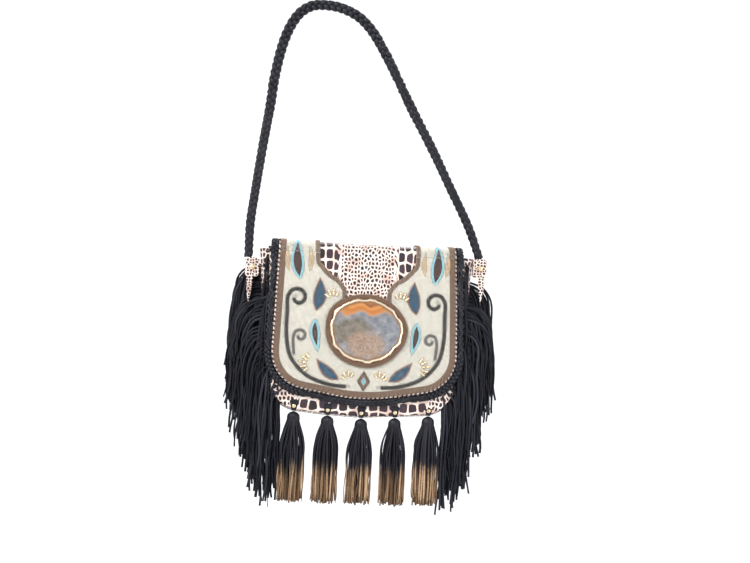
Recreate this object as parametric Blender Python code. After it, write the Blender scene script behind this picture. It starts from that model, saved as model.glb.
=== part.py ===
"""Flap shoulder bag in leather, with a beaded flap, a stone slice, braided strap and fringes.

The bag hangs level from the top of its strap, which is the origin: the point where a
shoulder or a hook carries it. X runs across the bag, -Y is its front and +Z is up.
Inside this file a place on the bag is given from the middle of its mouth: x across,
drop downwards. The front and the flap follow one side profile, so that every layer on
them keeps the same distance from the next. All sizes are metres and degrees.
"""
import math

import bmesh
import bpy
from mathutils import Vector

GAP = 0.0003                    # clearance between pieces that touch

# Where the bag hangs under the strap's top
BAG_X = 0.092
MOUTH_Z = -0.396

# Body
BACK_Y = 0.023                  # outer face of the flat back panel
LEATHER = 0.0018
BODY_TOP_HALF = 0.165
BODY_LOW_HALF = 0.150
BODY_CORNER_DROP = 0.264
BODY_DROP = 0.275
BODY_CORNER_RADIUS = 0.052
GUSSET_BULGE_TOP = 0.016        # how far the side swells out between the seams
GUSSET_BULGE_LOW = 0.006
GUSSET_TOP_DROP = 0.004
GUSSET_SPANS = 4                # flats across the swell of the side
LINING = 0.0008
LINING_EASE = 0.0022            # room between the lining and the leather round its curves

# Side profile of the flap's underside, from the hinge over the mouth to the front fold
HINGE_SIDE = (BACK_Y - GAP, 0.0)
ARCH = [(0.0125, 0.0056), (0.0005, 0.0076), (-0.0120, 0.0062), (-0.0198, 0.0012)]
FOLD = (-0.0230, -0.0060)
FRONT_TOP_Y = -0.0240
FRONT_LOW_Y = -0.0500
FRONT_TOP_DROP = 0.014
FRONT_END_DROP = 0.290
FRONT_CROWN = 0.0085            # how far the filled front bows out
FRONT_STRIPS = 4
HANG_END_DROP = 0.470           # below the body the profile hangs straight

# Distances out from the profile, layer by layer
PANEL_OUT = -0.0050
BACKING = (0.0, 0.0008)
FLAP_LEATHER = (0.0011, 0.0029)
BEAD_BASE = 0.0032
GROUND_TOP = 0.0046
TRIM_TOP = 0.0058
MOTIF_TOP = 0.0062

# Flap
FLAP_TOP_HALF = 0.147
FLAP_LOW_HALF = 0.155
FLAP_CORNER_RUN = 0.218         # along the front, from the fold
FLAP_RUN = 0.245
FLAP_CORNER_RADIUS = 0.062
FLAP_TIP_RADIUS = 0.300
BACKING_INSET = 0.003
BORDER_INSET = 0.002
BORDER_WIDTH = 0.0066
LACING_WIDE = 0.0130
LACING_THICK = 0.0080
LACING_PITCH = 0.014
LACING_RELIEF = 0.10
LACING_LEVEL = 0.0016

# Window of bare leather at the flap's top
WINDOW_TOP_HALF = 0.080
WINDOW_WAIST_HALF = 0.034
WINDOW_SHOULDER_RUN = 0.022
WINDOW_FOOT_RUN = 0.092
WINDOW_TRIM = 0.0055

# Stone slice and its collar
STONE_RUN = 0.128
STONE_HALF_X = 0.060
STONE_HALF_RUN = 0.052
STONE_THICK = 0.0060
STONE_POINTS = 26
COLLAR_WIDTH = 0.0070
COLLAR_TOP = 0.0090

# Snap under the flap
SNAP_RUN = 0.203
SNAP_RADIUS = 0.0085
SNAP_THICK = 0.0014

# Strap
STRAP_WIDE = 0.0190
STRAP_THICK = 0.0110
STRAP_LOW_WIDE = 0.0135
STRAP_ROUTE = [
    (-0.1060, -0.4165), (-0.1058, -0.3620), (-0.1010, -0.3130), (-0.0914, -0.2310),
    (-0.0822, -0.1620), (-0.0782, -0.1210), (-0.0710, -0.0790), (-0.0628, -0.0480),
    (-0.0526, -0.0240), (-0.0395, -0.0055), (-0.0211, 0.0065), (0.0000, 0.0095),
    (0.0289, 0.0062), (0.0582, -0.0065), (0.0820, -0.0290), (0.1015, -0.0580),
    (0.1180, -0.0860), (0.1555, -0.1550), (0.1935, -0.2200), (0.2275, -0.2830),
    (0.2615, -0.3460), (0.2840, -0.4005),
]
STRAP_STATIONS = 46

# Sleeves that hold the strap's ends on the sides
SLEEVE_WIDE = 0.024
SLEEVE_THICK = 0.0135
SLEEVE_TALL = 0.032
TONGUE_LENGTH = 0.046
TONGUE_WIDE = 0.013
TONGUE_THICK = 0.0024
SLEEVE_STUD_RADIUS = 0.0046

# Fringe in the side seams
STRAND_LANE = 0.0054            # strip and the gap beside it
STRAND_GAP = 0.0008
STRAND_PITCH = 0.0127           # from one strip's root to the next, down the seam
STRAND_LENGTH = 0.175
SEAM_STRANDS = 15
CORNER_STRANDS = 4
SEAM_BAND = 0.0040
FRINGE_TOP_DROP = 0.036
FRINGE_THICK = 0.0014
SWAY = [(0.0, 0.0), (0.110, 0.0012), (0.235, -0.0004), (0.330, 0.0008), (0.470, -0.0012)]

# Front tassels
TASSEL_COUNT = 5
TASSEL_SPACING = 0.056
TAB_TOP_DROP = 0.259
TAB_THICK = 0.0012
TAB_TOP_WIDE = 0.015
TAB_LOW_WIDE = 0.007
TAB_BELOW_EDGE = 0.0030
TASSEL_STUD_RADIUS = 0.0036
TASSEL_STUD_RISE = 0.0050       # above the body's lower edge
HEAD_TALL = 0.025
HEAD_HALF_X = 0.0125
HEAD_FLATTEN = 0.70
TASSEL_END_DROP = 0.421
TASSEL_STRANDS = 11
TASSEL_FOOT_HALF_X = 0.0215
TASSEL_HEADER = 0.006
TASSEL_STRIP_THICK = 0.0014

SEAM_STEPS = 7                  # points round a corner of an outline
SNAP_REACH = 0.00005            # a corner this near a fold of the profile is put on it


def clear_scene():
    for item in list(bpy.data.objects):
        bpy.data.objects.remove(item, do_unlink=True)


def material(name, colour, roughness, metallic=0.0):
    shader = bpy.data.materials.new(name)
    shader.use_nodes = True
    settings = shader.node_tree.nodes["Principled BSDF"].inputs
    settings["Base Color"].default_value = (*colour, 1.0)
    settings["Roughness"].default_value = roughness
    settings["Metallic"].default_value = metallic
    return shader


def add_part(name, mesh, finish, origin=(0.0, 0.0, 0.0)):
    """Make a named object of a bmesh in world places, with its origin where it turns."""
    mesh.normal_update()
    bmesh.ops.triangulate(mesh, faces=[f for f in mesh.faces if len(f.verts) > 4])
    bmesh.ops.recalc_face_normals(mesh, faces=mesh.faces)
    if mesh.calc_volume(signed=True) < 0:
        bmesh.ops.reverse_faces(mesh, faces=mesh.faces)
    bmesh.ops.translate(mesh, vec=-Vector(origin), verts=mesh.verts)
    data = bpy.data.meshes.new(name)
    mesh.to_mesh(data)
    mesh.free()
    data.materials.append(finish)
    part = bpy.data.objects.new(name, data)
    part.location = origin
    bpy.context.scene.collection.objects.link(part)
    return part


# Outlines and flat shapes

def rounded_path(corners, radii, steps=SEAM_STEPS):
    """An open outline through corners, each inner corner turned by an arc of its radius."""
    points = [Vector(corners[0])]
    for before, corner, after, radius in zip(corners, corners[1:], corners[2:], radii):
        corner = Vector(corner)
        back = (Vector(before) - corner).normalized()
        ahead = (Vector(after) - corner).normalized()
        half_angle = back.angle(ahead) / 2
        reach = radius / math.tan(half_angle)
        centre = corner + (back + ahead).normalized() * (radius / math.sin(half_angle))
        first = corner + back * reach - centre
        last = corner + ahead * reach - centre
        turn = first.angle(last)
        for step in range(steps + 1):
            part = step / steps
            low = math.sin((1 - part) * turn) / math.sin(turn)
            high = math.sin(part * turn) / math.sin(turn)
            points.append(centre + first * low + last * high)
    points.append(Vector(corners[-1]))
    return points


def offset_path(points, distance):
    """Shift an open outline sideways, to its left for a positive distance."""
    shifted = []
    for index, point in enumerate(points):
        before = points[max(index - 1, 0)]
        after = points[min(index + 1, len(points) - 1)]
        first = (point - before).normalized() if index else (after - point).normalized()
        second = (after - point).normalized() if index < len(points) - 1 else first
        mitre = Vector((-(first + second).y, (first + second).x)).normalized()
        shifted.append(point + mitre * distance / max(mitre.dot(Vector((-first.y, first.x))), 0.5))
    return shifted


def even_path(points, count):
    """Evenly spaced points on a line through the given ones."""
    lengths = [0.0]
    for before, after in zip(points, points[1:]):
        lengths.append(lengths[-1] + (after - before).length)
    even, place = [], 0
    for step in range(count):
        wanted = lengths[-1] * step / (count - 1)
        while place < len(points) - 2 and lengths[place + 1] < wanted:
            place += 1
        span = max(lengths[place + 1] - lengths[place], 1e-9)
        even.append(points[place].lerp(points[place + 1], min(1.0, (wanted - lengths[place]) / span)))
    return even


def smooth_path(points, count):
    """Even points on a Catmull-Rom curve through the given ones."""
    points = [Vector(point) for point in points]
    dense = []
    for index in range(len(points) - 1):
        near = [points[min(max(index + shift, 0), len(points) - 1)] for shift in (-1, 0, 1, 2)]
        for step in range(12):
            t = step / 12
            dense.append(0.5 * (2 * near[1] + (near[2] - near[0]) * t
                                + (2 * near[0] - 5 * near[1] + 4 * near[2] - near[3]) * t ** 2
                                + (3 * near[1] - near[0] - 3 * near[2] + near[3]) * t ** 3))
    return even_path(dense + [points[-1]], count)


def ribbon(points, widths):
    """Closed outline of a band of changing width along an open path."""
    left, right = [], []
    for index, (point, width) in enumerate(zip(points, widths)):
        before = points[max(index - 1, 0)]
        after = points[min(index + 1, len(points) - 1)]
        along = (after - before).normalized()
        across = Vector((-along.y, along.x)) * width / 2
        left.append(point + across)
        right.append(point - across)
    return left + right[::-1]


def plate(outline, low, high):
    """A closed flat plate: outline in x and run, thickness from low to high."""
    mesh = bmesh.new()
    floor = [mesh.verts.new((point[0], point[1], low)) for point in outline]
    face = mesh.faces.new(floor)
    lid = bmesh.ops.extrude_face_region(mesh, geom=[face])
    top = [item for item in lid["geom"] if isinstance(item, bmesh.types.BMVert)]
    bmesh.ops.translate(mesh, vec=(0, 0, high - low), verts=top)
    return mesh


def ring_plate(outer, inner, low, high):
    """A closed flat ring between two outlines that have as many points each."""
    mesh = bmesh.new()
    loops = [[mesh.verts.new((p[0], p[1], level)) for p in line]
             for line, level in ((outer, low), (inner, low), (inner, high), (outer, high))]
    count = len(outer)
    for here, there in zip(loops, loops[1:] + loops[:1]):
        for index in range(count):
            after = (index + 1) % count
            mesh.faces.new((here[index], here[after], there[after], there[index]))
    return mesh


def loft(rings, closed_ends=True):
    """Skin closed rings of as many points each, and cap the first and last."""
    mesh = bmesh.new()
    loops = [[mesh.verts.new(point) for point in ring] for ring in rings]
    count = len(rings[0])
    for here, there in zip(loops, loops[1:]):
        for index in range(count):
            after = (index + 1) % count
            mesh.faces.new((here[index], here[after], there[after], there[index]))
    if closed_ends:
        mesh.faces.new(loops[0])
        mesh.faces.new(loops[-1])
    return mesh


def shell(outer_grid, inner_grid):
    """A closed sheet between two grids of points, open all round its rim."""
    mesh = bmesh.new()
    outer = [[mesh.verts.new(point) for point in row] for row in outer_grid]
    inner = [[mesh.verts.new(point) for point in row] for row in inner_grid]
    rows, columns = len(outer), len(outer[0])
    for row in range(rows - 1):
        for col in range(columns - 1):
            for grid in (outer, inner):
                mesh.faces.new((grid[row][col], grid[row][col + 1],
                                grid[row + 1][col + 1], grid[row + 1][col]))
    rim = [(row, 0) for row in range(rows)] + [(rows - 1, col) for col in range(1, columns)]
    rim += [(row, columns - 1) for row in range(rows - 2, -1, -1)]
    rim += [(0, col) for col in range(columns - 2, 0, -1)]
    for here, there in zip(rim, rim[1:] + rim[:1]):
        mesh.faces.new((outer[here[0]][here[1]], outer[there[0]][there[1]],
                        inner[there[0]][there[1]], inner[here[0]][here[1]]))
    return mesh


def helper_object(name, mesh):
    bmesh.ops.recalc_face_normals(mesh, faces=mesh.faces)
    data = bpy.data.meshes.new(name)
    mesh.to_mesh(data)
    mesh.free()
    helper = bpy.data.objects.new(name, data)
    bpy.context.scene.collection.objects.link(helper)
    return helper


def union(base, additions):
    """One body made of a base shape and the shapes that grow out of it."""
    body = helper_object("base", base)
    helpers = [helper_object("addition", mesh) for mesh in additions]
    for helper in helpers:
        step = body.modifiers.new("union", "BOOLEAN")
        step.operation = "UNION"
        step.solver = "EXACT"
        step.object = helper
    bpy.context.view_layer.update()
    result = body.evaluated_get(bpy.context.evaluated_depsgraph_get()).to_mesh()
    mesh = bmesh.new()
    mesh.from_mesh(result)
    for helper in helpers + [body]:
        bpy.data.objects.remove(helper, do_unlink=True)
    return mesh


# The side profile that the front and the flap follow

def front_bow(drop):
    part = (drop - FRONT_TOP_DROP) / (FRONT_END_DROP - FRONT_TOP_DROP)
    straight = FRONT_TOP_Y + (FRONT_LOW_Y - FRONT_TOP_Y) * part
    return straight - FRONT_CROWN * 4 * part * (1 - part)


def side_profile():
    points = [Vector(HINGE_SIDE)] + [Vector(point) for point in ARCH] + [Vector(FOLD)]
    for strip in range(FRONT_STRIPS + 1):
        drop = FRONT_TOP_DROP + (FRONT_END_DROP - FRONT_TOP_DROP) * strip / FRONT_STRIPS
        points.append(Vector((front_bow(drop), -drop)))
    points.append(Vector((front_bow(FRONT_END_DROP), -HANG_END_DROP)))
    return points


PROFILE = side_profile()
FOLD_INDEX = len(ARCH) + 1


def profile_runs():
    """Distance along the profile at each of its points, counted from the front fold."""
    runs = [0.0]
    for before, after in zip(PROFILE, PROFILE[1:]):
        runs.append(runs[-1] + (after - before).length)
    return [run - runs[FOLD_INDEX] for run in runs]


def profile_mitres():
    mitres = []
    for index in range(len(PROFILE)):
        normals = []
        for start, end in ((index - 1, index), (index, index + 1)):
            if start >= 0 and end < len(PROFILE):
                along = (PROFILE[end] - PROFILE[start]).normalized()
                normals.append(Vector((along.y, -along.x)))
        middle = sum(normals, Vector((0.0, 0.0))).normalized()
        mitres.append(middle / middle.dot(normals[0]))
    return mitres


RUNS = profile_runs()
MITRES = profile_mitres()
HINGE_RUN = RUNS[0]


def on_profile(run, out):
    """Y and height at a run along the profile and a distance out from it."""
    index = 0
    while index < len(RUNS) - 2 and RUNS[index + 1] < run:
        index += 1
    part = (run - RUNS[index]) / (RUNS[index + 1] - RUNS[index])
    near = PROFILE[index] + MITRES[index] * out
    far = PROFILE[index + 1] + MITRES[index + 1] * out
    return near.lerp(far, part)


def run_at_drop(drop, out):
    """The run at which a layer of the front is the given drop below the mouth."""
    low, high = 0.0, RUNS[-1]
    for _ in range(40):
        middle = (low + high) / 2
        if -on_profile(middle, out).y < drop:
            low = middle
        else:
            high = middle
    return (low + high) / 2


def front_y(drop, out):
    return on_profile(run_at_drop(drop, out), out).x


def place(x, y, height):
    """World place of a point given from the middle of the mouth."""
    return Vector((BAG_X + x, y, MOUTH_Z + height))


def cut_at(mesh, levels):
    """Cut a flat shape at folds across its second axis."""
    for level in levels:
        for vert in mesh.verts:
            if abs(vert.co.y - level) < SNAP_REACH:
                vert.co.y = level
        cut = list(mesh.verts) + list(mesh.edges) + list(mesh.faces)
        bmesh.ops.bisect_plane(mesh, geom=cut, dist=1e-6, plane_co=(0, level, 0), plane_no=(0, 1, 0))


def wrap(mesh):
    """Bend a flat shape of x, run and distance out on to the profile."""
    cut_at(mesh, RUNS[1:-1])
    for vert in mesh.verts:
        side = on_profile(vert.co.y, vert.co.z)
        vert.co = place(vert.co.x, side.x, side.y)
    return mesh


# Body

def body_outline():
    """Seam line of the panels, in x and drop, from the left end of the mouth round to the right."""
    corners = [(-BODY_TOP_HALF, 0.0), (-BODY_LOW_HALF, BODY_CORNER_DROP), (0.0, BODY_DROP),
               (BODY_LOW_HALF, BODY_CORNER_DROP), (BODY_TOP_HALF, 0.0)]
    return rounded_path(corners, (BODY_CORNER_RADIUS, 0.4, BODY_CORNER_RADIUS))


def outline_between_drops(top_drop):
    """The seam line with its two ends brought down to a drop."""
    line = body_outline()
    part = top_drop / line[1].y
    line[0] = line[0].lerp(line[1], part)
    line[-1] = line[-1].lerp(line[-2], part)
    return line


def front_panel(finish):
    top = -on_profile(0.0, PANEL_OUT).y
    outline = [Vector((p.x, run_at_drop(p.y, PANEL_OUT))) for p in outline_between_drops(top)]
    return add_part("front_panel", wrap(plate(outline, PANEL_OUT - LEATHER, PANEL_OUT)), finish)


def back_panel(finish):
    mesh = plate(body_outline(), BACK_Y - LEATHER, BACK_Y)
    for vert in mesh.verts:
        vert.co = place(vert.co.x, vert.co.z, -vert.co.y - GAP)
    return add_part("back_panel", mesh, finish)


def outward(line, index):
    """Unit direction out of the body at a point of its seam line, in x and drop."""
    along = line[min(index + 1, len(line) - 1)] - line[max(index - 1, 0)]
    return Vector((-along.y, along.x)).normalized()


def gusset_bulge(drop):
    part = min(1.0, drop / BODY_DROP)
    return GUSSET_BULGE_TOP + (GUSSET_BULGE_LOW - GUSSET_BULGE_TOP) * part


def gusset_sheet(line, inset, end_clearance, spans=GUSSET_SPANS):
    """Rows of points across the side strip, one row for each point of the seam line."""
    rows = []
    for index, point in enumerate(line):
        out = outward(line, index)
        near = front_y(point.y, PANEL_OUT - LEATHER) + GAP + end_clearance
        far = BACK_Y - LEATHER - GAP - end_clearance
        row = []
        for span in range(spans + 1):
            part = span / spans
            swell = gusset_bulge(point.y) * 4 * part * (1 - part) - inset
            spot = point + out * swell
            row.append(place(spot.x, near + (far - near) * part, -spot.y))
        rows.append(row)
    return rows


def gusset_reach(drop, depth):
    """How far the side stands out from the seam line at a drop and a depth across it."""
    near = front_y(drop, PANEL_OUT - LEATHER) + GAP
    far = BACK_Y - LEATHER - GAP
    part = (depth - near) / (far - near)
    low = math.floor(part * GUSSET_SPANS) / GUSSET_SPANS
    start, end = (4 * share * (1 - share) for share in (low, low + 1 / GUSSET_SPANS))
    return gusset_bulge(drop) * (start + (end - start) * (part - low) * GUSSET_SPANS)


def with_profile_folds(line, out):
    """The seam line with a point wherever the front's layer changes direction."""
    drops = [-on_profile(run, out).y for run in RUNS[1:-1]]
    fuller = [line[0]]
    for before, after in zip(line, line[1:]):
        crossed = [drop for drop in drops if min(before.y, after.y) < drop < max(before.y, after.y)]
        for drop in sorted(crossed, reverse=after.y < before.y):
            fuller.append(before.lerp(after, (drop - before.y) / (after.y - before.y)))
        fuller.append(after)
    return fuller


def gusset(finish):
    line = with_profile_folds(outline_between_drops(GUSSET_TOP_DROP), PANEL_OUT - LEATHER)
    outer = gusset_sheet(line, 0.0, 0.0)
    inner = gusset_sheet(line, LEATHER, 0.0)
    return add_part("gusset", shell(outer, inner), finish)


def body_half_width(drop):
    """Half the seam line's width at a drop below the mouth."""
    line = [point for point in body_outline() if point.x <= 0]
    for before, after in zip(line, line[1:]):
        if before.y <= drop <= after.y:
            part = (drop - before.y) / (after.y - before.y)
            return -(before.x + (after.x - before.x) * part)
    return 0.0


def lining_ring(drop, inward):
    clear = LEATHER + LINING_EASE + inward
    half = body_half_width(drop) - clear
    near = front_y(drop, PANEL_OUT - LEATHER) + LINING_EASE / 2 + inward
    far = BACK_Y - LEATHER - GAP - inward
    corner = 0.008
    ring = []
    for x, y, turn in ((half, far, 0), (-half, far, 90), (-half, near, 180), (half, near, 270)):
        centre = (x - math.copysign(corner, x), y - corner if y > 0 else y + corner)
        for step in range(3):
            angle = math.radians(turn + 45 * step)
            ring.append(place(centre[0] + corner * math.cos(angle), centre[1] + corner * math.sin(angle), -drop))
    return ring


def lining(finish):
    """A fabric pocket, open at the mouth, inside the leather."""
    folds = [-on_profile(run, PANEL_OUT - LEATHER).y for run in RUNS[FOLD_INDEX + 1:-2]]
    floor = BODY_DROP - LEATHER - LINING_EASE
    low_corner = [floor - rise for rise in (0.0620, 0.0450, 0.0310, 0.0200, 0.0115, 0.0062)]
    drops = sorted([GUSSET_TOP_DROP + 0.006] + [fold for fold in folds if 0.02 < fold < low_corner[0]]
                   + low_corner)
    outer = [lining_ring(drop, 0.0) for drop in drops]
    inner = [lining_ring(drop, LINING) for drop in drops[:-1]]
    inner.append(lining_ring(drops[-1] - LINING, LINING))
    return add_part("lining", loft(outer[::-1] + inner), finish)


# Snap

def disc(name, run, radius, low, high, finish, origin=(0.0, 0.0, 0.0)):
    circle = [(radius * math.cos(a), run + radius * math.sin(a))
              for a in (2 * math.pi * step / 16 for step in range(16))]
    return add_part(name, wrap(plate(circle, low, high)), finish, origin)


# Flap

def flap_outline(inset=0.0):
    corners = [(-FLAP_TOP_HALF, HINGE_RUN), (-FLAP_LOW_HALF, FLAP_CORNER_RUN), (0.0, FLAP_RUN),
               (FLAP_LOW_HALF, FLAP_CORNER_RUN), (FLAP_TOP_HALF, HINGE_RUN)]
    line = rounded_path(corners, (FLAP_CORNER_RADIUS, FLAP_TIP_RADIUS, FLAP_CORNER_RADIUS))
    line = offset_path(line, -inset)
    line[0].y = HINGE_RUN
    line[-1].y = HINGE_RUN
    return line


def window_edge(outset=0.0, foot=WINDOW_FOOT_RUN):
    """Left edge of the window, from the hinge side down to its foot over the stone."""
    waist = WINDOW_WAIST_HALF
    shoulder = WINDOW_SHOULDER_RUN
    points = [(-WINDOW_TOP_HALF, HINGE_RUN), (-WINDOW_TOP_HALF, shoulder * 0.4),
              (-WINDOW_TOP_HALF * 0.93, shoulder), (-WINDOW_TOP_HALF * 0.74, shoulder * 1.7),
              (-waist * 1.35, shoulder * 2.1), (-waist, shoulder * 2.9), (-waist, WINDOW_FOOT_RUN)]
    line = offset_path(smooth_path(points, 16), outset)
    line[0].y = HINGE_RUN
    line[-1].y = foot
    return line


def agate_outline(grow=0.0, points=STONE_POINTS):
    """The slice's uneven rim, in x and run."""
    rim = []
    for step in range(points):
        angle = 2 * math.pi * step / points
        wave = 1 + 0.014 * math.cos(3 * angle + 0.7) + 0.010 * math.cos(5 * angle) \
            + 0.012 * math.sin(2 * angle)
        rim.append(Vector(((STONE_HALF_X + grow) * wave * math.cos(angle),
                           STONE_RUN + (STONE_HALF_RUN + grow) * wave * math.sin(angle))))
    return rim


def ground_outline():
    outer = flap_outline(BORDER_INSET + BORDER_WIDTH + GAP)
    inner = window_edge(WINDOW_TRIM + GAP)
    return outer + [Vector((-point.x, point.y)) for point in inner] + inner[::-1]


def agate(finish, origin):
    """A flat slice with a chamfered rim, resting on the crest of the curved flap."""
    crest = max(range(FOLD_INDEX + 1, len(RUNS) - 2), key=lambda k: -abs(RUNS[k] - STONE_RUN))
    top = on_profile(STONE_RUN - STONE_HALF_RUN, 0)
    foot = on_profile(STONE_RUN + STONE_HALF_RUN, 0)
    down = (foot - top).normalized()
    away = Vector((down.y, -down.x))
    base = PROFILE[crest] + away * (GROUND_TOP + GAP)
    rings = []
    for grow, rise in ((-0.0015, 0.0), (0.0, 0.25), (0.0, 0.7), (-0.0018, 1.0)):
        ring = []
        for point in agate_outline(grow):
            side = base + down * (point.y - RUNS[crest]) + away * rise * STONE_THICK
            ring.append(place(point.x, side.x, side.y))
        rings.append(ring)
    return add_part("agate_slice", loft(rings), finish, origin)


def edge_lacing(finish, origin):
    """A plaited cord sewn round the flap's free edge."""
    middle = flap_outline(-GAP - LACING_WIDE / 2)
    middle[0].y += 0.004
    middle[-1].y += 0.004
    length = sum((b - a).length for a, b in zip(middle, middle[1:]))
    stations = even_path(middle, 2 * round(length / LACING_PITCH))
    rings = []
    for index, point in enumerate(stations):
        along = (stations[min(index + 1, len(stations) - 1)] - stations[max(index - 1, 0)]).normalized()
        across = Vector((along.y, -along.x))
        ring = []
        for step in range(6):
            angle = math.radians(60 * step)
            beat = 1 + LACING_RELIEF * (1 if (index + step // 3) % 2 else -1)
            spread = across * (LACING_WIDE / 2 / (1 + LACING_RELIEF)) * math.cos(angle) * beat
            out = LACING_LEVEL + LACING_THICK / 2 / (1 + LACING_RELIEF) * math.sin(angle) * beat
            side = on_profile(point.y + spread.y, out)
            ring.append(place(point.x + spread.x, side.x, side.y))
        rings.append(ring)
    return add_part("edge_lacing", loft(rings), finish, origin)


# Bead motifs: a scrolling stem with leaves, the same on both sides of the flap

def both_sides(outlines):
    return outlines + [[Vector((-p[0], p[1])) for p in outline][::-1] for outline in outlines]


def volute(centre, radius, start, turns, points):
    """A spiral that winds inwards from a start angle."""
    line = []
    for step in range(points):
        part = step / (points - 1)
        angle = math.radians(start + 360 * turns * part)
        size = radius * (1 - 0.72 * part)
        line.append(Vector((centre[0] + size * math.cos(angle), centre[1] + size * math.sin(angle))))
    return line


def tapering(count, width, start=0.5, end=0.6):
    """Widths of a band that is full in the middle and slimmer at its ends."""
    return [width * min(1.0, start + 4 * k / count, end + 4 * (count - 1 - k) / count) for k in range(count)]


def leaf(foot, tip, width, bend=0.0, points=5):
    """A pointed leaf between two points, in x and run, bowed to one side."""
    foot, tip = Vector(foot), Vector(tip)
    along = tip - foot
    across = Vector((-along.y, along.x)).normalized()
    sides = []
    for direction in (1, -1):
        side = []
        for step in range(1, points):
            part = step / points
            bow = across * bend * 4 * part * (1 - part)
            half = width / 2 * math.sin(math.pi * part ** 0.8)
            side.append(foot + along * part + bow + across * direction * half)
        sides.append(side)
    return [foot] + sides[0] + [tip] + sides[1][::-1]


LEAF_PLACES = [                 # foot, tip, width and bow of the blue leaves on the right
    ((0.0830, 0.0980), (0.0790, 0.0440), 0.021, -0.003),
    ((0.0420, 0.2100), (0.0790, 0.1780), 0.017, 0.003),
]
DROP_PLACES = [                 # the turquoise leaves on the right
    ((0.0840, 0.1120), (0.0765, 0.1660), 0.016, -0.003),
    ((0.1120, 0.0480), (0.1170, -0.0220), 0.021, 0.003),
]
SMALL_LEAVES = [                # the slim gold leaves beside the upper turquoise one
    ((0.0960, 0.0330), (0.0965, -0.0060), 0.0075, -0.002),
    ((0.1310, 0.0330), (0.1340, -0.0060), 0.0075, 0.002),
]
PALMETTES = [                   # root, heading, reach, petals and spread of the gold fans on the right
    ((0.0840, 0.1860), -8, 0.025, 5, 90),
    ((0.0560, 0.0820), -78, 0.021, 4, 80),
    ((0.0250, 0.2120), -72, 0.018, 4, 90),
]
MOTIF_DRAWN_HALF = 0.147        # half width of the flap that these places are drawn for
LOZENGE_RUN = 0.2115
LOZENGE_HALF = (0.0105, 0.0165)


def stem_scrolls():
    """The dark stem: it leaves the middle low down, climbs the side and curls in."""
    line = [(0.0220, 0.2215), (0.0590, 0.2180), (0.0950, 0.2045), (0.1215, 0.1770),
            (0.1305, 0.1400), (0.1308, 0.1000)]
    line += volute((0.1140, 0.0785), 0.0170, 0, -1.15, 9)
    line = smooth_path(line, 34)
    return [ribbon(line, tapering(len(line), 0.0062))]


def side_scrolls():
    """The grey tendril that curls inwards from the stem."""
    line = [(0.1165, 0.1730), (0.1185, 0.1570)] + volute((0.1075, 0.1410), 0.0115, 10, -1.1, 8)
    line = smooth_path(line, 18)
    return [ribbon(line, tapering(len(line), 0.0046))]


def palmette(root, direction, reach, petals, spread):
    """A fan of slim petals from one root."""
    outlines = []
    for petal in range(petals):
        angle = math.radians(direction + spread * (petal / (petals - 1) - 0.5))
        length = reach * (1 - 0.22 * abs(petal / (petals - 1) - 0.5) * 2)
        heading = Vector((math.cos(angle), math.sin(angle)))
        start = Vector(root) + heading * reach * 0.50
        outlines.append(leaf(start, Vector(root) + heading * length, 0.0046, 0.0, 3))
    return outlines


def lozenge():
    half_x, half_run = LOZENGE_HALF
    return [(0.0, LOZENGE_RUN - half_run), (half_x, LOZENGE_RUN),
            (0.0, LOZENGE_RUN + half_run), (-half_x, LOZENGE_RUN)]


def bead_panel(finish, origin):
    """The embroidered panel: an even ground of beads with its motifs standing proud."""
    fans = []
    for fan in PALMETTES:
        fans += palmette(*fan)
    leaves = [leaf(*place_of_leaf) for place_of_leaf in LEAF_PLACES + DROP_PLACES + SMALL_LEAVES]
    outlines = both_sides(stem_scrolls() + side_scrolls() + leaves + fans) + [lozenge()]
    fit = FLAP_TOP_HALF / MOTIF_DRAWN_HALF
    outlines = [[(point[0] * fit, point[1]) for point in outline] for outline in outlines]
    middle = (BEAD_BASE + GROUND_TOP) / 2
    raised = [plate(outline, middle, MOTIF_TOP) for outline in outlines]
    panel = union(plate(ground_outline(), BEAD_BASE, GROUND_TOP), raised)
    bmesh.ops.triangulate(panel, faces=panel.faces)
    return add_part("bead_panel", wrap(panel), finish, origin)


def flap(finishes, origin):
    leather = wrap(plate(flap_outline(), *FLAP_LEATHER))
    add_part("flap_leather", leather, finishes["croc_leather"], origin)
    add_part("flap_backing", wrap(plate(flap_outline(BACKING_INSET), *BACKING)), finishes["suede"], origin)
    bead_panel(finishes["ivory_bead"], origin)
    outer = flap_outline(BORDER_INSET)
    inner = flap_outline(BORDER_INSET + BORDER_WIDTH)
    border = wrap(plate(outer + inner[::-1], BEAD_BASE, TRIM_TOP))
    add_part("bead_border", border, finishes["copper_bead"], origin)
    foot = WINDOW_FOOT_RUN - GAP
    left_trim = window_edge(0.0, foot) + window_edge(WINDOW_TRIM, foot)[::-1]
    for word, outline in zip(("left", "right"), both_sides([left_trim])):
        trim = wrap(plate(outline, BEAD_BASE, TRIM_TOP))
        add_part("window_trim_" + word, trim, finishes["copper_bead"], origin)
    edge_lacing(finishes["black_leather"], origin)
    agate(finishes["agate"], origin)
    collar = ring_plate(agate_outline(GAP * 2 + COLLAR_WIDTH), agate_outline(GAP * 2),
                        TRIM_TOP + GAP, COLLAR_TOP)
    add_part("agate_collar", wrap(collar), finishes["copper_bead"], origin)
    disc("snap_stud", SNAP_RUN, SNAP_RADIUS - 0.001, -GAP - SNAP_THICK, -GAP, finishes["gold_metal"], origin)


# Strap and its sleeves

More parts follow.
